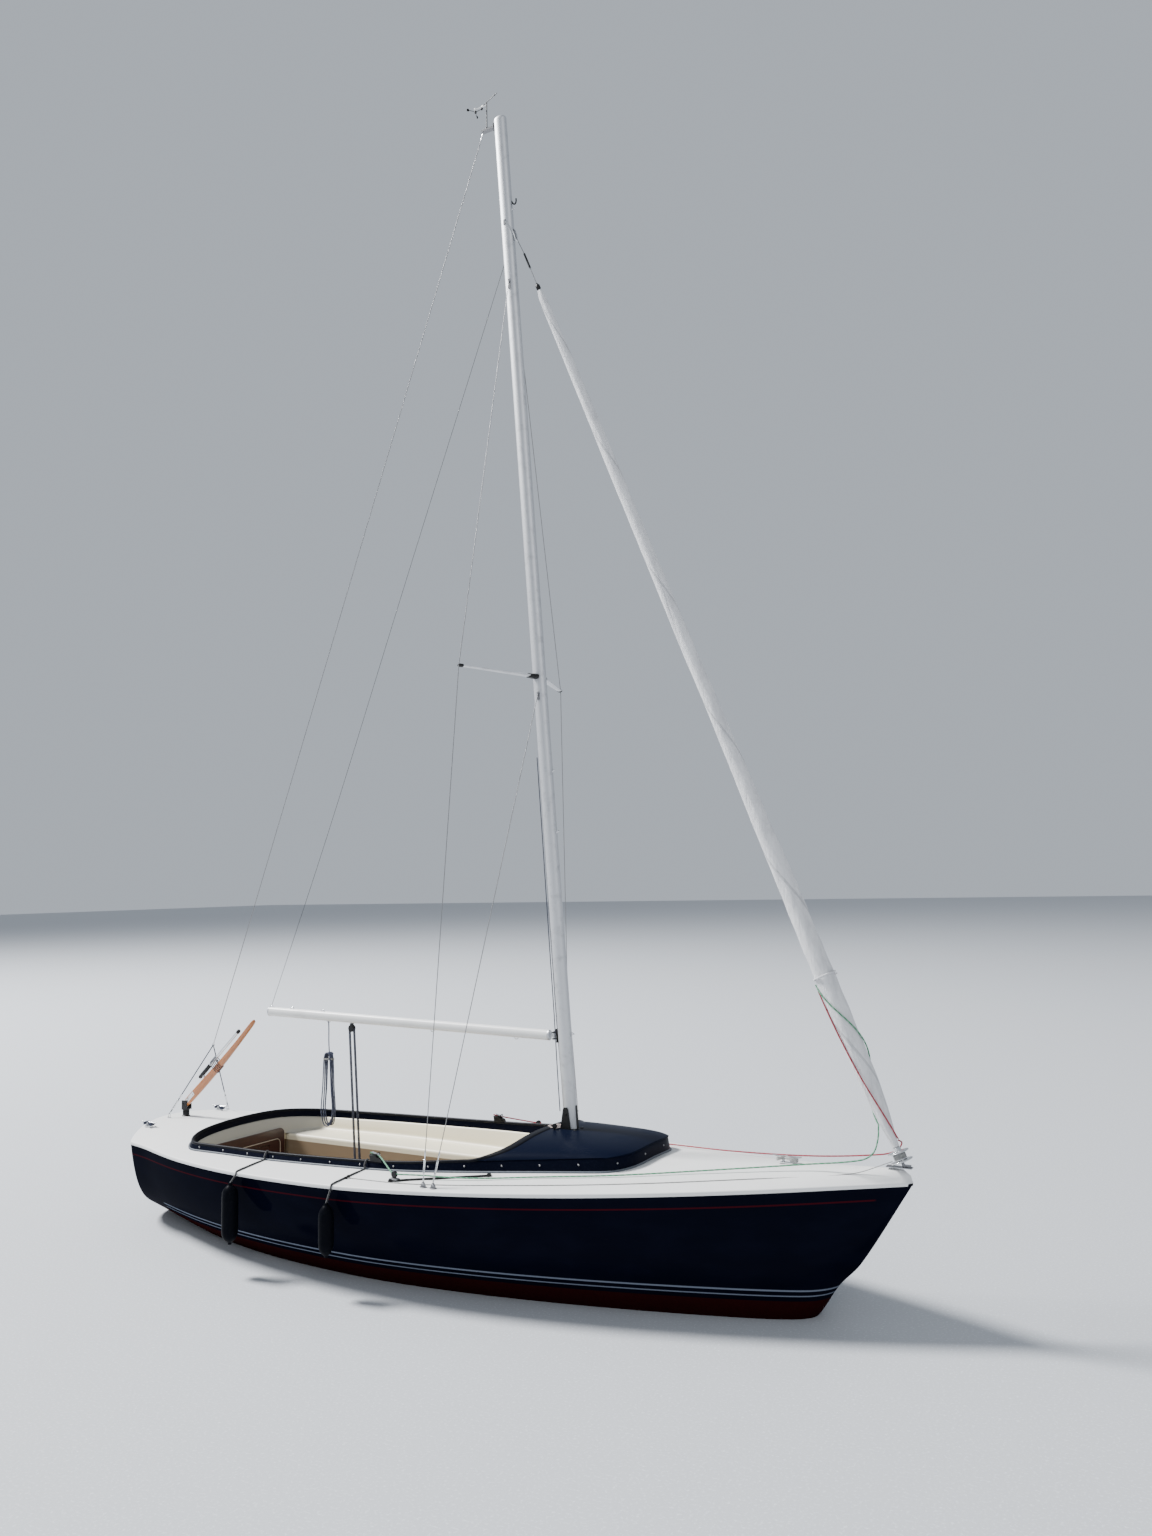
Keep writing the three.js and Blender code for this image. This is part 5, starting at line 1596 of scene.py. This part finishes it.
@dataclass
class Furler:
    """Forestay, drum, rolled jib and swivel, which turn about the stay.

    Attributes:
        low: The stay's lower point, on the joint.
        high: The stay's upper point.
    """

    low: Triple = (3.215, 0.0, 0.9)
    high: Triple = (0.53, 0.0, 7.69)

    @property
    def ahead(self) -> Array:
        """The stay's direction."""
        return unit(np.subtract(self.high, self.low))

    @property
    def frame(self) -> Array:
        """A frame on the stay: z along it from its lower point."""
        return frame_of(self.low, self.ahead)

    def along(self, z: float | Array) -> float | Array:
        """Distance along the stay at which it is z high."""
        return (z - self.low[2]) / self.ahead[2]

    @property
    def roll(self) -> Curve:
        """The roll's radius by height."""
        rows = [
            (1062, 20), (1100, 24), (1200, 38), (1400, 57), (1700, 64), (2000, 66), (2600, 62), (3300, 54)
        ]
        return Curve([*rows, (4000, 48), (5500, 42), (6900, 32), (7080, 27), (7143, 15)])

    def cloth(self) -> Form:
        """The rolled sail: r = R (1 + ripples) + steps of 5 and 2 mm where its edges wind round."""
        z, turn = np.linspace(1.062, 7.143, 620)[:, None], around(84)[None]
        ripple = 0.012 * np.sin(3 * turn + 5.1 * z) + 0.01 * np.sin(5 * turn - 9.7 * z + 1)
        ripple = ripple + 0.006 * np.sin(11 * turn + 23 * z)
        crease = 0.016 * np.sin(2 * turn + 31 * z) * np.exp(-(((z - 1.9) / 1.1) ** 2))
        r = self.roll(z) * (1 + ripple + crease)
        for height, phase in ((0.0046, turn - 2.1 * z - 1.3), (0.002, turn + 0.9 * z + 2.0)):
            wound = np.mod(phase, TURN) / TURN
            r = r + height * (wound - 0.5) * np.minimum(1, (1 - wound) * 14)
        cos, sin = np.cos(turn), np.sin(turn)
        form = Form.grid(stack(r * cos, r * sin, self.along(z)), True, capped=True)
        form.along = stack(cos, sin, self.along(z)).reshape(-1, 3)
        return form.placed(self.frame)

    def wound(self, start: float, low: float, high: float, turns: float, power: float = 1.0) -> Array:
        """A line wound on the roll between two heights: radius R + 7 mm, angle start + 2 pi turns t^power."""
        z = np.linspace(low, high, 160)
        turn = start + turns * TURN * ((z - low) / (high - low)) ** power
        radius = self.roll(z) * 1.02 + 0.0068
        return carried(stack(radius * np.cos(turn), radius * np.sin(turn), self.along(z)), self.frame)

    def turned(self, rows: Sequence[Pair], sides: int) -> Form:
        """A turned form on the stay, from (height over the water, radius) rows in millimetres."""
        z, r = mm(rows).T
        return Form.lathe(np.column_stack([r, self.along(z)]), sides).placed(self.frame)

    def build(self, frame: dict) -> None:
        """Makes the furler and the sheets wound on the sail."""
        show(self.cloth(), "rolled_jib", CLOTH, "furler", ["furled_jib"], smooth=60)
        drum = [
            (978, 0), (978, 30), (979, 66), (981, 70), (986, 70), (988, 66), (990, 32), (1026, 32), (1028, 62)
        ]
        drum += [(1030, 66), (1035, 66), (1037, 62), (1039, 24), (1058, 24), (1060, 18), (1061, 0)]
        show(self.turned(drum, 56), "drum_plates", STEEL, "furler", ["furler_drum"], bevel=0.0008)
        turn = np.linspace(0, 14 * np.pi, 260)
        rise = self.along(0.9945) + 0.0306 * turn / turn[-1]
        line = stack(0.037 * np.cos(turn), 0.037 * np.sin(turn), rise)
        rope(carried(line, self.frame), 0.0026, "drum_line", GREY_ROPE, "furler", 6)
        swivel = [(7153, 0), (7153, 13), (7160, 17), (7186, 17), (7196, 8), (7204, 8), (7204, 0)]
        show(self.turned(swivel, 32), "swivel_body", BLACK, "furler", ["halyard_swivel"], smooth=40)
        strap = Form.tube(self.wound(0, 2.06, 2.075, 1.0), 0.006, 8)
        show(strap, "sail_strap", CLOTH, "furler", smooth=80)
        rope(self.wound(math.radians(379), 1.1, 2.0, -0.48, 0.4), 0.0048, "red_turns", RED_ROPE, "furler")
        rope(self.wound(math.radians(560), 1.2, 2.04, -1.0), 0.0048, "green_turns", GREEN_ROPE, "furler")
        dress(frame, "forestay_head", WIRE)
        shackles = self.low + np.outer(self.along(np.linspace(7.344, 7.474, 9)), self.ahead)
        show(Form.tube(shackles, 0.0078, 12), "stay_shackles", BLACK, smooth=50)
        dress(frame, "stemhead_fitting", DULL, 0.002)


@dataclass
class Boom:
    """The boom, its fittings, mainsheet and topping lift.

    Attributes:
        neck: x and z of the gooseneck.
        end: x and z of the aft end.
        deep: Its depth.
        wide: Its width.
        sheet_x: x of the mainsheet's upper block.
        base_x: x of its lower block.
    """

    neck: Pair = (0.758, 1.609)
    end: Pair = (-1.985, 1.678)
    deep: float = 0.072
    wide: float = 0.058
    sheet_x: float = -1.1
    base_x: float = -1.03

    @property
    def reach(self) -> Array:
        """From the aft end to the gooseneck, as (x, z)."""
        return np.subtract(self.neck, self.end)

    @property
    def frame(self) -> Array:
        """A frame on the gooseneck: x forward along the boom."""
        return pitched(self.neck, *self.reach)

    @property
    def length(self) -> float:
        """The boom's length from the gooseneck."""
        return math.hypot(*self.reach)

    def on(self, x: float, up: float = 0.0, y: float = 0.0) -> Array:
        """A point at x beside the boom's axis."""
        return (self.frame @ ((x - self.neck[0]) / self.frame[0, 0], y, up, 1))[:3]

    def tube(self) -> Form:
        """An oval with a groove along its top."""
        x, turn = np.linspace(-self.length + 0.012, -0.038, 50)[:, None], around(72)
        groove = 0.006 * np.exp(-(((turn - np.pi / 2) / 0.09) ** 4))
        made = stack(x, self.wide / 2 * np.cos(turn), (self.deep / 2 - groove) * np.sin(turn))
        return Form.grid(made, True).placed(self.frame)

    def caps(self) -> Form:
        """A cast plug in each end, the forward one with its knuckle."""
        y, z = oval(self.wide / 2, self.deep / 2, 48).T
        rows = [(0, 0.92), (0.004, 1.02), (0.014, 1.04), (0.016, 0.98), (0.02, 0.9)]
        along, size = np.array(rows).T[:, :, None]
        ends = ((-self.length + 0.018, -1), (-0.05, 1))
        rings = [stack(start + way * along, y * size, z * size) for start, way in ends]
        made = [Form.grid(ring, True, capped=True) for ring in rings]
        knuckle = Form.block((-0.034, -0.006, -0.01), (-0.006, 0.006, 0.01))
        return joined([*made, knuckle, Form.spool(mm([(0, 14), (10, 13.5)]), 20)]).placed(self.frame)

    def loops(self) -> Form:
        """Eye straps under and over the boom at the places of its lines."""
        r, made = self.deep / 2, []
        for x, s in ((-1.731, 1), (-1.405, 1), (-1.339, -1), (-0.31, -1), (0.44, -1), (-1.96, 1)):
            x = (x - self.neck[0]) / self.frame[0, 0]
            arch = [(-0.018, r - 0.002), (-0.01, r + 0.01), (0.01, r + 0.01), (0.018, r - 0.002)]
            arch = carried(np.array([(x + ahead, 0, s * up) for ahead, up in arch]), self.frame)
            made.append(Form.tube(spline(arch, 0.003), 0.003, 8))
        return joined(made)

    def block_sheet(self) -> None:
        """The mainsheet: blocks on the boom and the sole, and four falls between them."""
        block = sheave_block(0.028, 0.03)
        top, foot = self.on(self.sheet_x, -self.deep / 2 - 0.001), np.array([self.base_x, 0, 0.181])
        upper = block.placed(frame_of(top, (0, 0, -1)))
        show(upper, "mainsheet_upper", BLACK, "boom", ["mainsheet_block"], smooth=50)
        base = Form.prism(oval(0.05, 0.04, 40), 0, 0.008) + block.shifted((0, 0, 0.022))
        base = base + Form.lathe(mm([(22, 4), (20, 12), (12, 24), (0, 26)]), 24)
        base = base + cam_cleat(0.022).shifted((0.035, 0, 0.03))
        show(base.shifted(foot), "mainsheet_foot", BLACK, stands_for=["mainsheet_base"], smooth=50)
        falls = []
        for dx, dy in ((-0.024, -0.007), (0.024, -0.007), (-0.024, 0.007), (0.024, 0.007)):
            low, high = foot + (dx, dy, 0.066), top + (dx * 0.95, dy, -0.042)
            falls.append(Form.tube(np.linspace(low, high, 80), 0.0045, 8))
        piece = show(joined(falls), "mainsheet_falls", NAVY_ROPE, body="", smooth=80)
        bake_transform(piece)

    def lift(self, mast: Mast) -> None:
        """The topping lift, from high on the mast to the boom's end."""
        start, end = mast.at(7.44, -mast.deep / 2 - 0.004), self.on(-1.96, self.deep / 2 + 0.012)
        line = spline([start, (-0.5, 0, 5.19), (-1.33, 0, 3.17), end], 0.06)
        piece = show(Form.tube(line, 0.0018, 6), "topping_lift", BLACK_ROPE, body="", smooth=80)
        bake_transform(piece)

    def build(self, frame: dict, mast: Mast) -> None:
        """Makes the boom and its gear."""
        show(self.tube(), "boom_tube", ENAMEL, "boom", ["boom"], smooth=50)
        show(self.caps(), "boom_caps", SPAR, "boom", smooth=45)
        show(self.loops(), "boom_eyes", STEEL, "boom", smooth=60)
        dress(frame, "gooseneck", BLACK, 0.0015)
        pin = Form.lathe(mm([(0, 34), (5.5, 33), (4.5, 30), (4.5, -33), (0, -34)]), 14)
        show(pin.placed(self.frame), "gooseneck_pin", STEEL, smooth=40)
        self.block_sheet()
        self.lift(mast)


@dataclass
class Hank:
    """The spare rope that hangs from the boom, made up in long turns.

    Attributes:
        x: Its place along the boat.
        top: Height of its top.
        low: Height of its lower end.
        radius: Radius of the rope.
        turns: Number of its turns.
    """

    x: float = -1.34
    top: float = 1.383
    low: float = 0.8065
    radius: float = 0.0045
    turns: int = 6

    def path(self, start: Array) -> Array:
        """The rope's line: down from where it leaves the boom, then pear-shaped turns side by side."""
        wide, slim = 0.0412, 0.027
        high, deep = self.top - self.radius - slim, self.low + self.radius + wide
        turn, sag = np.linspace(0, np.pi, 25), np.linspace(-np.pi / 12, -11 * np.pi / 12, 21)
        bottom = np.column_stack([wide * np.cos(sag), deep + wide * np.sin(sag)])
        crown = np.column_stack([-slim * np.cos(turn), high + slim * np.sin(turn)])
        flank = [(54.5, 892), (59.2, 940), (55.3, 1000), (45.5, 1100), (37.5, 1250), (33.5, 1325)]
        flank = mm(flank)
        one = np.vstack([bottom, flank * (-1, 1), crown, flank[::-1]])
        slack = np.array([[1.0], [0.74], [0.9], [0.7], [0.84], [0.96]])[: self.turns]
        size = 1 - (1 - slack) * np.clip((self.top - one[:, 1]) / 0.25, 0, 1) ** 0.5
        lift = (1 - slack) * 0.06 * np.clip((1.0 - one[:, 1]) / 0.15, 0, 1)
        plan = np.stack([one[:, 0] * size, one[:, 1] + lift], -1).reshape(-1, 2)[: -len(flank) - 4]
        share = travelled(plan) / travelled(np.vstack([one, one[:1]]))[-1]
        coil = stack(self.x + plan[:, 0], -0.0232 + 0.00925 * share, plan[:, 1])
        down = stack(self.x + flank[::-1, 0], -0.024, flank[::-1, 1])
        lead = [
            start, start + (0.002, 0, -0.06), (self.x + 0.012, -0.012, 1.46), (self.x + 0.03, -0.0245, 1.36)
        ]
        return spline(np.vstack([lead, down, coil]))

    def build(self, boom: Boom) -> None:
        start = boom.on(self.x, -boom.deep / 2 - 0.001)
        path = self.path(start)
        rope_piece = rope(path, self.radius, "spare_rope", ROPE, "boom")
        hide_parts("rope_coil", "rope_hanger")
        turn = np.linspace(0, 6 * np.pi, 120)
        x, y = self.x + 0.0395 * squared(np.cos(turn), 0.6), 0.0325 * squared(np.sin(turn), 0.6)
        tie = rope(stack(x, y, 1.322 + 0.0052 * turn / TURN), 0.0022, "hank_tie", GREY_ROPE, "boom", 6)


@dataclass
class DeckGear:
    """Cleats, sheet tracks and leads, sheets and the furling line.

    Attributes:
        track_aft: x and y of the track's aft end.
        track_front: x and y of its forward end.
        lead_x: x of the car on it.
    """

    track_aft: Pair = (0.01, 0.925)
    track_front: Pair = (0.655, 0.655)
    lead_x: float = 0.049

    def seat(self, node: str) -> Triple:
        """The middle of a node's foot."""
        low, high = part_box(node)
        return (low.x + high.x) / 2, (low.y + high.y) / 2, low.z

    def track(self, side: Side) -> Form:
        """A T-shaped track that follows the deck, with stops at its ends."""
        plan = np.linspace(self.track_aft, self.track_front, 40) * (1, side.value)
        ahead = unit(plan[-1] - plan[0])
        half = [(12, 2), (12, 4), (6, 5), (6, 7), (13, 7.5), (13, 10.5)]
        out, rise = mm([(-12, 2), *half, *((-a, b) for a, b in half[:0:-1])]).T
        where = plan[:, None] + np.array([-ahead[1], ahead[0]]) * out[None, :, None]
        level = LINES.deck_z(*plan.T)[:, None] + rise
        made = Form.grid(stack(where[..., 0], where[..., 1], level), True, capped=True)
        stop = Form.block((-0.012, -0.016, 0), (0.012, 0.016, 0.018))
        ends = [(*plan[k], float(level[k, 0]) - 0.002) for k in (1, -2)]
        return made + stop.copies([frame_of(p, UP, (*ahead, 0)) for p in ends])

    def lead(self, side: Side) -> Form:
        """The car on the track with its upright block."""
        at = LINES.on_deck(self.lead_x, side.value * 0.9088, 0.011)
        car = Form.lathe(mm([(0, 11), (15, 11), (19, 9), (19, 0), (0, 0)]), 4)
        car = car.placed(np.diag([2.4, 1.35, 1, 1]) @ frame_of((0, 0, 0), UP, (1, 1, 0)))
        show(car.shifted(at), f"sheet_car_{side.word}", DULL, bevel=0.001)
        return sheave_block(0.022, 0.02).shifted(at)

    def cleat_seat(self, side: Side) -> Array:
        """Where a sheet's cleat stands on the coaming."""
        x = -0.245 if side is Side.STARBOARD else -0.2
        half = float(LINES.coaming_half(x))
        return np.array([x, side.value * (half - 0.024), float(LINES.band_top(x, half))])

    def cleat(self, side: Side) -> None:
        """A cam cleat on its wedge, tilted down to the sheet's lead."""
        at, name = self.cleat_seat(side) + (0, 0, 0.0035), f"sheet_cleat_{side.word}"
        view = mm([(-50, 0), (50, 0), (44, 22), (-36, 44), (-56, 44)])
        wedge = Form.prism(view, -0.014, 0.014).placed(frame_of(at, (0, -1, 0)))
        show(wedge, f"{name}_wedge", BLACK, stands_for=[name], bevel=0.002)
        tilt = frame_of(at + (-0.01, 0, 0.033), (0.2079, 0, 0.9781))
        half = [(-47, -18), (-43, -21), (41, -21), (45, -17)]
        plate = mm([*half, (45, 17), (41, 21), (-43, 21), (-47, 18)])
        cams = cam_cleat(0.02).shifted((0, 0, 0.003))
        strap = Form.prism(plate * (0.8, 0.45), 0.0205, 0.0225)
        show(Form.prism(plate, 0, 0.003).placed(tilt), f"{name}_plate", BLACK, bevel=0.0008)
        show(cams.placed(tilt), f"{name}_cams", BLACK, bevel=0.0006, smooth=45)
        show(strap.placed(tilt), f"{name}_strap", STEEL, bevel=0.0008)

    def sheets(self) -> None:
        """The two jib sheets, low along the deck from the roll to their leads, then up to their cleats."""
        green = [(3.056, 0.02, 1.185), (3.058, 0.05, 1.11), (3.035, 0.085, 1.03), (2.96, 0.1, 0.985)]
        red = [(3.163, 0.014, 1.1), (3.172, 0.06, 1.076), (3.13, 0.092, 1.02), (3.03, 0.1, 0.985)]
        plan = np.array([(2.6, 0.125), (2.0, 0.29), (1.5, 0.466), (1.0, 0.615), (0.56, 0.763), (0.2, 0.845)])
        deck = stack(*plan.T, LINES.deck_z(*plan.T) + (0.04, 0.02, 0.014, 0.012, 0.016, 0.032))
        z = float(LINES.deck_z(self.lead_x, 0.9)) + 0.045
        lead = [(0.075, 0.9, z), (self.lead_x, 0.909, z + 0.003), (0.03, 0.905, z + 0.002)]
        for side, finish, first in ((Side.STARBOARD, GREEN_ROPE, green), (Side.PORT, RED_ROPE, red)):
            x, y, top = self.cleat_seat(side) * (1, side.value, 1) + (-0.01, 0, 0.052)
            last = [(x + 0.045, y + 0.01, top - 0.008), (x, y, top), (x - 0.05, y - 0.004, top + 0.006)]
            points = np.vstack([first, deck, lead, last]) * (1, side.value, 1)
            rope(spline(points, 0.02), 0.0048, finish.name.replace("_rope", "_sheet"), finish)

    def furling_line(self) -> None:
        """The line from the drum along the starboard deck to its cleat."""
        plan = [(2.3, -0.31), (1.6, -0.56), (0.9, -0.77), (0.2, -0.93), (-0.32, -0.95)]
        points = [(3.14, -0.05, 0.985), (2.9, -0.1, 0.9), *(LINES.on_deck(x, y, 0.005) for x, y in plan)]
        rope(spline(points, 0.03), 0.0026, "furling_line", GREY_ROPE, sides=6)
        show(cam_cleat(0.016).shifted(LINES.on_deck(-0.33, -0.95)), "furling_cleat", BLACK, smooth=45)

    def turns(self, node: str, size: float = 1.0) -> Array:
        """Rope turned in figures of eight on a cleat."""
        t = np.linspace(0, 6 * np.pi, 220)
        across = 0.022 * np.sin(2 * t) + 0.006 * np.cos(t)
        rise = 0.02 + 0.016 * t / t[-1] + 0.006 * np.cos(2 * t)
        return stack(0.052 * size * np.sin(t), across, rise) + self.seat(node)

    def build(self) -> None:
        """Makes the deck's fittings and lines."""
        horns = horn_cleat(0.19, 0.04).shifted(self.seat("bow_cleat"))
        show(horns, "bow_horns", STEEL, stands_for=["bow_cleat"], smooth=50)
        rope(self.turns("bow_cleat", 1.25), 0.0065, "bow_turns", GREY_ROPE)
        for side in Side:
            node = f"stern_cleat_{side.word}"
            horns = horn_cleat(0.17, 0.036).shifted(self.seat(node))
            show(horns, f"{node}_horns", STEEL, stands_for=[node], smooth=50)
            rope(self.turns(node, 0.9), 0.0048, f"stern_turns_{side.word}", NAVY_ROPE)
            node = f"sheet_lead_{side.word}"
            show(self.track(side), f"{node}_track", BLACK, stands_for=[node], bevel=0.0008, smooth=45)
            show(self.lead(side), f"{node}_block", BLACK, bevel=0.0008, smooth=45)
            self.cleat(side)
        self.sheets()
        self.furling_line()


@dataclass
class Fender:
    """A fender with its ribbed ends and its line.

    Attributes:
        name: Its CAD node.
        x: Its place along the side.
        top: Height of its top.
        low: Height of its lower end.
        radius: Its radius.
        tie_x: x of the line's end on the coaming.
    """

    name: str
    x: float
    top: float
    low: float
    radius: float
    tie_x: float

    def build(self) -> None:
        """Makes the fender and its line."""
        r, sheer, edge = self.radius, float(LINES.sheer(self.x)), float(LINES.half(self.x))
        rows = [(0.012, -0.015), (0.016, 0), (0.022, 0.004), (r * 0.55, 0.012), (r * 0.8, 0.03)]
        rows += [(r * 0.94, 0.052), (r, 0.09)]
        heights = np.linspace(self.low + 0.09, self.top - 0.09, 40)
        ribs = [(r - 0.0012 * (k % 2), z) for k, z in enumerate(heights)]
        profile = [(0.0, self.low - 0.012), *((a, self.low + b) for a, b in rows), *ribs]
        profile += [*((a, self.top - b) for a, b in rows[::-1]), (0.0, self.top + 0.014)]
        form = Form.lathe(profile, 40).shifted((self.x, -(edge + r + 0.006), 0))
        show(form, f"{self.name}_body", VINYL, stands_for=[self.name], smooth=50)
        foot = float(LINES.coaming_half(self.tie_x)) + 0.006
        x, away = np.linspace((self.x, edge - 0.012), (self.tie_x, foot), 4).T
        rim = float(LINES.band_top(self.tie_x, foot))
        up = [(self.x, -(edge + r + 0.006), self.top + 0.01), (self.x, -edge - 0.011, sheer - 0.012)]
        over = [(-0.004, rim - 0.02), (0.02, rim + 0.016), (0.042, rim + 0.006), (0.045, rim - 0.04)]
        over = [(self.tie_x, y - foot, z) for y, z in over]
        deck = stack(x, -away, LINES.deck_z(x, away) + 0.0085)
        points = np.vstack([up, (self.x, -edge - 0.008, sheer + 0.004), deck, over])
        rope(spline(points), 0.0065, f"{self.name}_line", BLACK_ROPE)


@dataclass
class WindSensor:
    """The masthead's cups and vane on their stalk.

    Attributes:
        stem: x of the stem.
        hub: x of the cups' hub.
    """

    stem: float = 0.288
    hub: float = 0.182

    def build(self) -> None:
        """Makes the stalk with its arm, the cups and the vane."""
        base = float(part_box("sensor_stalk")[0].z)
        rows = [(0, base), (0.0125, base), (0.0125, base + 0.012), (0.0045, base + 0.018), (0.0045, 8.81)]
        stem = Form.lathe([*rows, (0, 8.81)], 16).shifted((self.stem, 0, 0))
        show(stem, "sensor_stem", BLACK, stands_for=["sensor_stalk"], smooth=40)
        arm = Form.tube(np.linspace((0.292, 0, 8.805), (self.hub, 0, 8.805), 8), 0.0042)
        cap = Form.spool(mm([(0, 9.6), (7, 8.5), (11.5, 3)]), 20).shifted((self.hub, 0, 8.807))
        show(arm + cap, "sensor_arm", ENAMEL, smooth=60)
        cups, vane = self.cups(np.array([self.hub, 0, 8.784])), self.vane(np.array([self.stem, 0, 8.827]))
        show(cups, "cups_rotor", BLACK, "cups", ["wind_cups"], smooth=50)
        show(vane, "vane_arrow", BLACK, "vane", ["wind_vane"], smooth=45)

    @staticmethod
    def cups(centre: Array) -> Form:
        """Three cups of 22 mm on arms round a hub."""
        hub = Form.lathe(mm([(0, -10), (8, -9.5), (9, -2), (9, 6), (6, 8), (0, 8)]), 20)
        bowl = stack(np.sin(np.linspace(0, np.pi / 2, 8)), -np.cos(np.linspace(0, np.pi / 2, 8)), 0)[:, :2]
        cup = Form.lathe(np.vstack([0.011 * bowl, 0.0098 * bowl[::-1]]), 20)
        parts = [hub.shifted(centre)]
        for a in np.radians((116, 236, 356)):
            out = np.array([math.cos(a), math.sin(a), 0])
            parts.append(Form.tube(np.linspace(centre, centre + out * 0.055, 6), 0.002, 8))
            parts.append(cup.placed(frame_of(centre + out * 0.064, (-out[1], out[0], 0), UP)))
        return joined(parts)

    @staticmethod
    def vane(axis: Array) -> Form:
        """An arrow with a bead near its point and a fin at its tail, on a post."""
        ahead = np.array([math.cos(math.radians(-21)), math.sin(math.radians(-21)), 0])
        arrow = Form.tube(axis + np.linspace(-0.079, 0.139, 12)[:, None] * ahead, 0.0024)
        bead = Form.lathe(mm([(0, -9), (3.8, -6), (5, 0), (3.8, 6), (0, 9)]), 16)
        bead = bead.placed(frame_of(axis + 0.11 * ahead, ahead, UP))
        fin = [(-80, -2), (-74, -6), (-50, -3.5), (-46, 0), (-50, 7.5), (-77, 12)]
        blade = Form.prism(mm(fin), -0.0012, 0.0012).placed(frame_of(axis, np.cross(ahead, UP), ahead))
        post = Form.lathe(mm([(0, -15.8), (4.5, -15.5), (4.5, 2), (0, 3)]), 16).shifted(axis)
        return joined([arrow, bead, blade, post])


@dataclass
class Studio:
    """Floor, lights and the camera at the photograph's viewing angle.

    Attributes:
        focal: Focal length in pixels of the frame.
        frame_width: The frame's width in pixels.
        sensor: The sensor's width in millimetres.
        place: The camera's place.
        yaw: Its turn to the left of +Y, in degrees.
        pitch: Its tilt up, in degrees.
        roll: Its turn about its own axis, in degrees.
    """

    focal: float = 1166.5
    frame_width: int = 1152
    sensor: float = 36.0
    place: Triple = (5.116, -7.199, 2.681)
    yaw: float = 29.872
    pitch: float = 5.634
    roll: float = -1.144

    def camera(self) -> None:
        """Makes the camera from its angles."""
        yaw, pitch, roll = np.radians((self.yaw, self.pitch, self.roll))
        level, right = np.array([(-math.sin(yaw), math.cos(yaw), 0.0), (math.cos(yaw), math.sin(yaw), 0.0)])
        ahead = math.cos(pitch) * level + math.sin(pitch) * np.array(UP)
        crown = math.cos(pitch) * np.array(UP) - math.sin(pitch) * level
        turned_right = math.cos(roll) * right + math.sin(roll) * crown
        turned_up = math.cos(roll) * crown - math.sin(roll) * right
        data = bpy.data.cameras.new("camera")
        data.sensor_fit, data.sensor_width = "HORIZONTAL", self.sensor
        data.lens = self.sensor * self.focal / self.frame_width
        data.clip_start, data.clip_end = 0.1, 200.0
        camera = bpy.data.objects.new("camera", data)
        bpy.context.scene.collection.objects.link(camera)
        matrix = np.eye(4)
        matrix[:3] = np.column_stack([turned_right, turned_up, -ahead, self.place])
        camera.matrix_world = Matrix(matrix.tolist())
        bpy.context.scene.camera = camera

    def lights(self) -> None:
        """Makes a soft sun over the stern, a broad fill and an even pale surround."""
        table = [("key", (-35.0, -5.0, 40.0), 12.0, 72000.0), ("fill", (20.0, -28.0, 20.0), 20.0, 2600.0)]
        for name, place, size, power in table:
            data = bpy.data.lights.new(name, "AREA")
            data.shape, data.size, data.energy = "DISK", size, power
            light = bpy.data.objects.new(name, data)
            light.location = place
            aim = Matrix(frame_of((0, 0, 0), unit(np.array(place) - (0, 0, 2.0)), (1, 0.01, 0)).tolist())
            light.rotation_euler = aim.to_euler()
            bpy.context.scene.collection.objects.link(light)
        world = bpy.data.worlds.new("surround")
        world.use_nodes = True
        inputs = world.node_tree.nodes["Background"].inputs
        inputs["Color"].default_value, inputs["Strength"].default_value = (0.66, 0.72, 0.8, 1), 0.72
        bpy.context.scene.world = world

    def floor(self) -> None:
        """Makes the pale floor at the waterline."""
        side = np.linspace(-140, 140, 10)
        sheet = Form.grid(stack(side[:, None], side[None], 0.0))
        show(sheet, "floor", Finish("floor", (0.5, 0.52, 0.55), 0.85, slot=""), body="")

    def build(self) -> None:
        """Makes the studio."""
        self.camera()
        self.lights()
        self.floor()


def main() -> None:
    """Builds the boat, one sub-assembly after another."""
    logging.basicConfig(level=logging.INFO, format="%(name)s %(message)s")
    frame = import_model()
    Studio().build()
    Hull().build()
    Deck().build()
    Coaming().build()
    Cuddy().build()
    Cockpit().build(frame)
    mast, boom = Mast(), Boom()
    Hank().build(boom)
    Foils().build()
    Steering().build(frame)
    mast.build(frame)
    StandingRigging().build(mast)
    Furler().build(frame)
    boom.build(frame, mast)
    DeckGear().build()
    Fender("fender_aft", -1.261, 0.615, 0.225, 0.058, -1.242).build()
    Fender("fender_mid", -0.342, 0.59, 0.27, 0.052, -0.322).build()
    WindSensor().build()
    dress(frame, "transom_bracket", BLACK, 0.004)


if __name__ == "__main__":
    main()
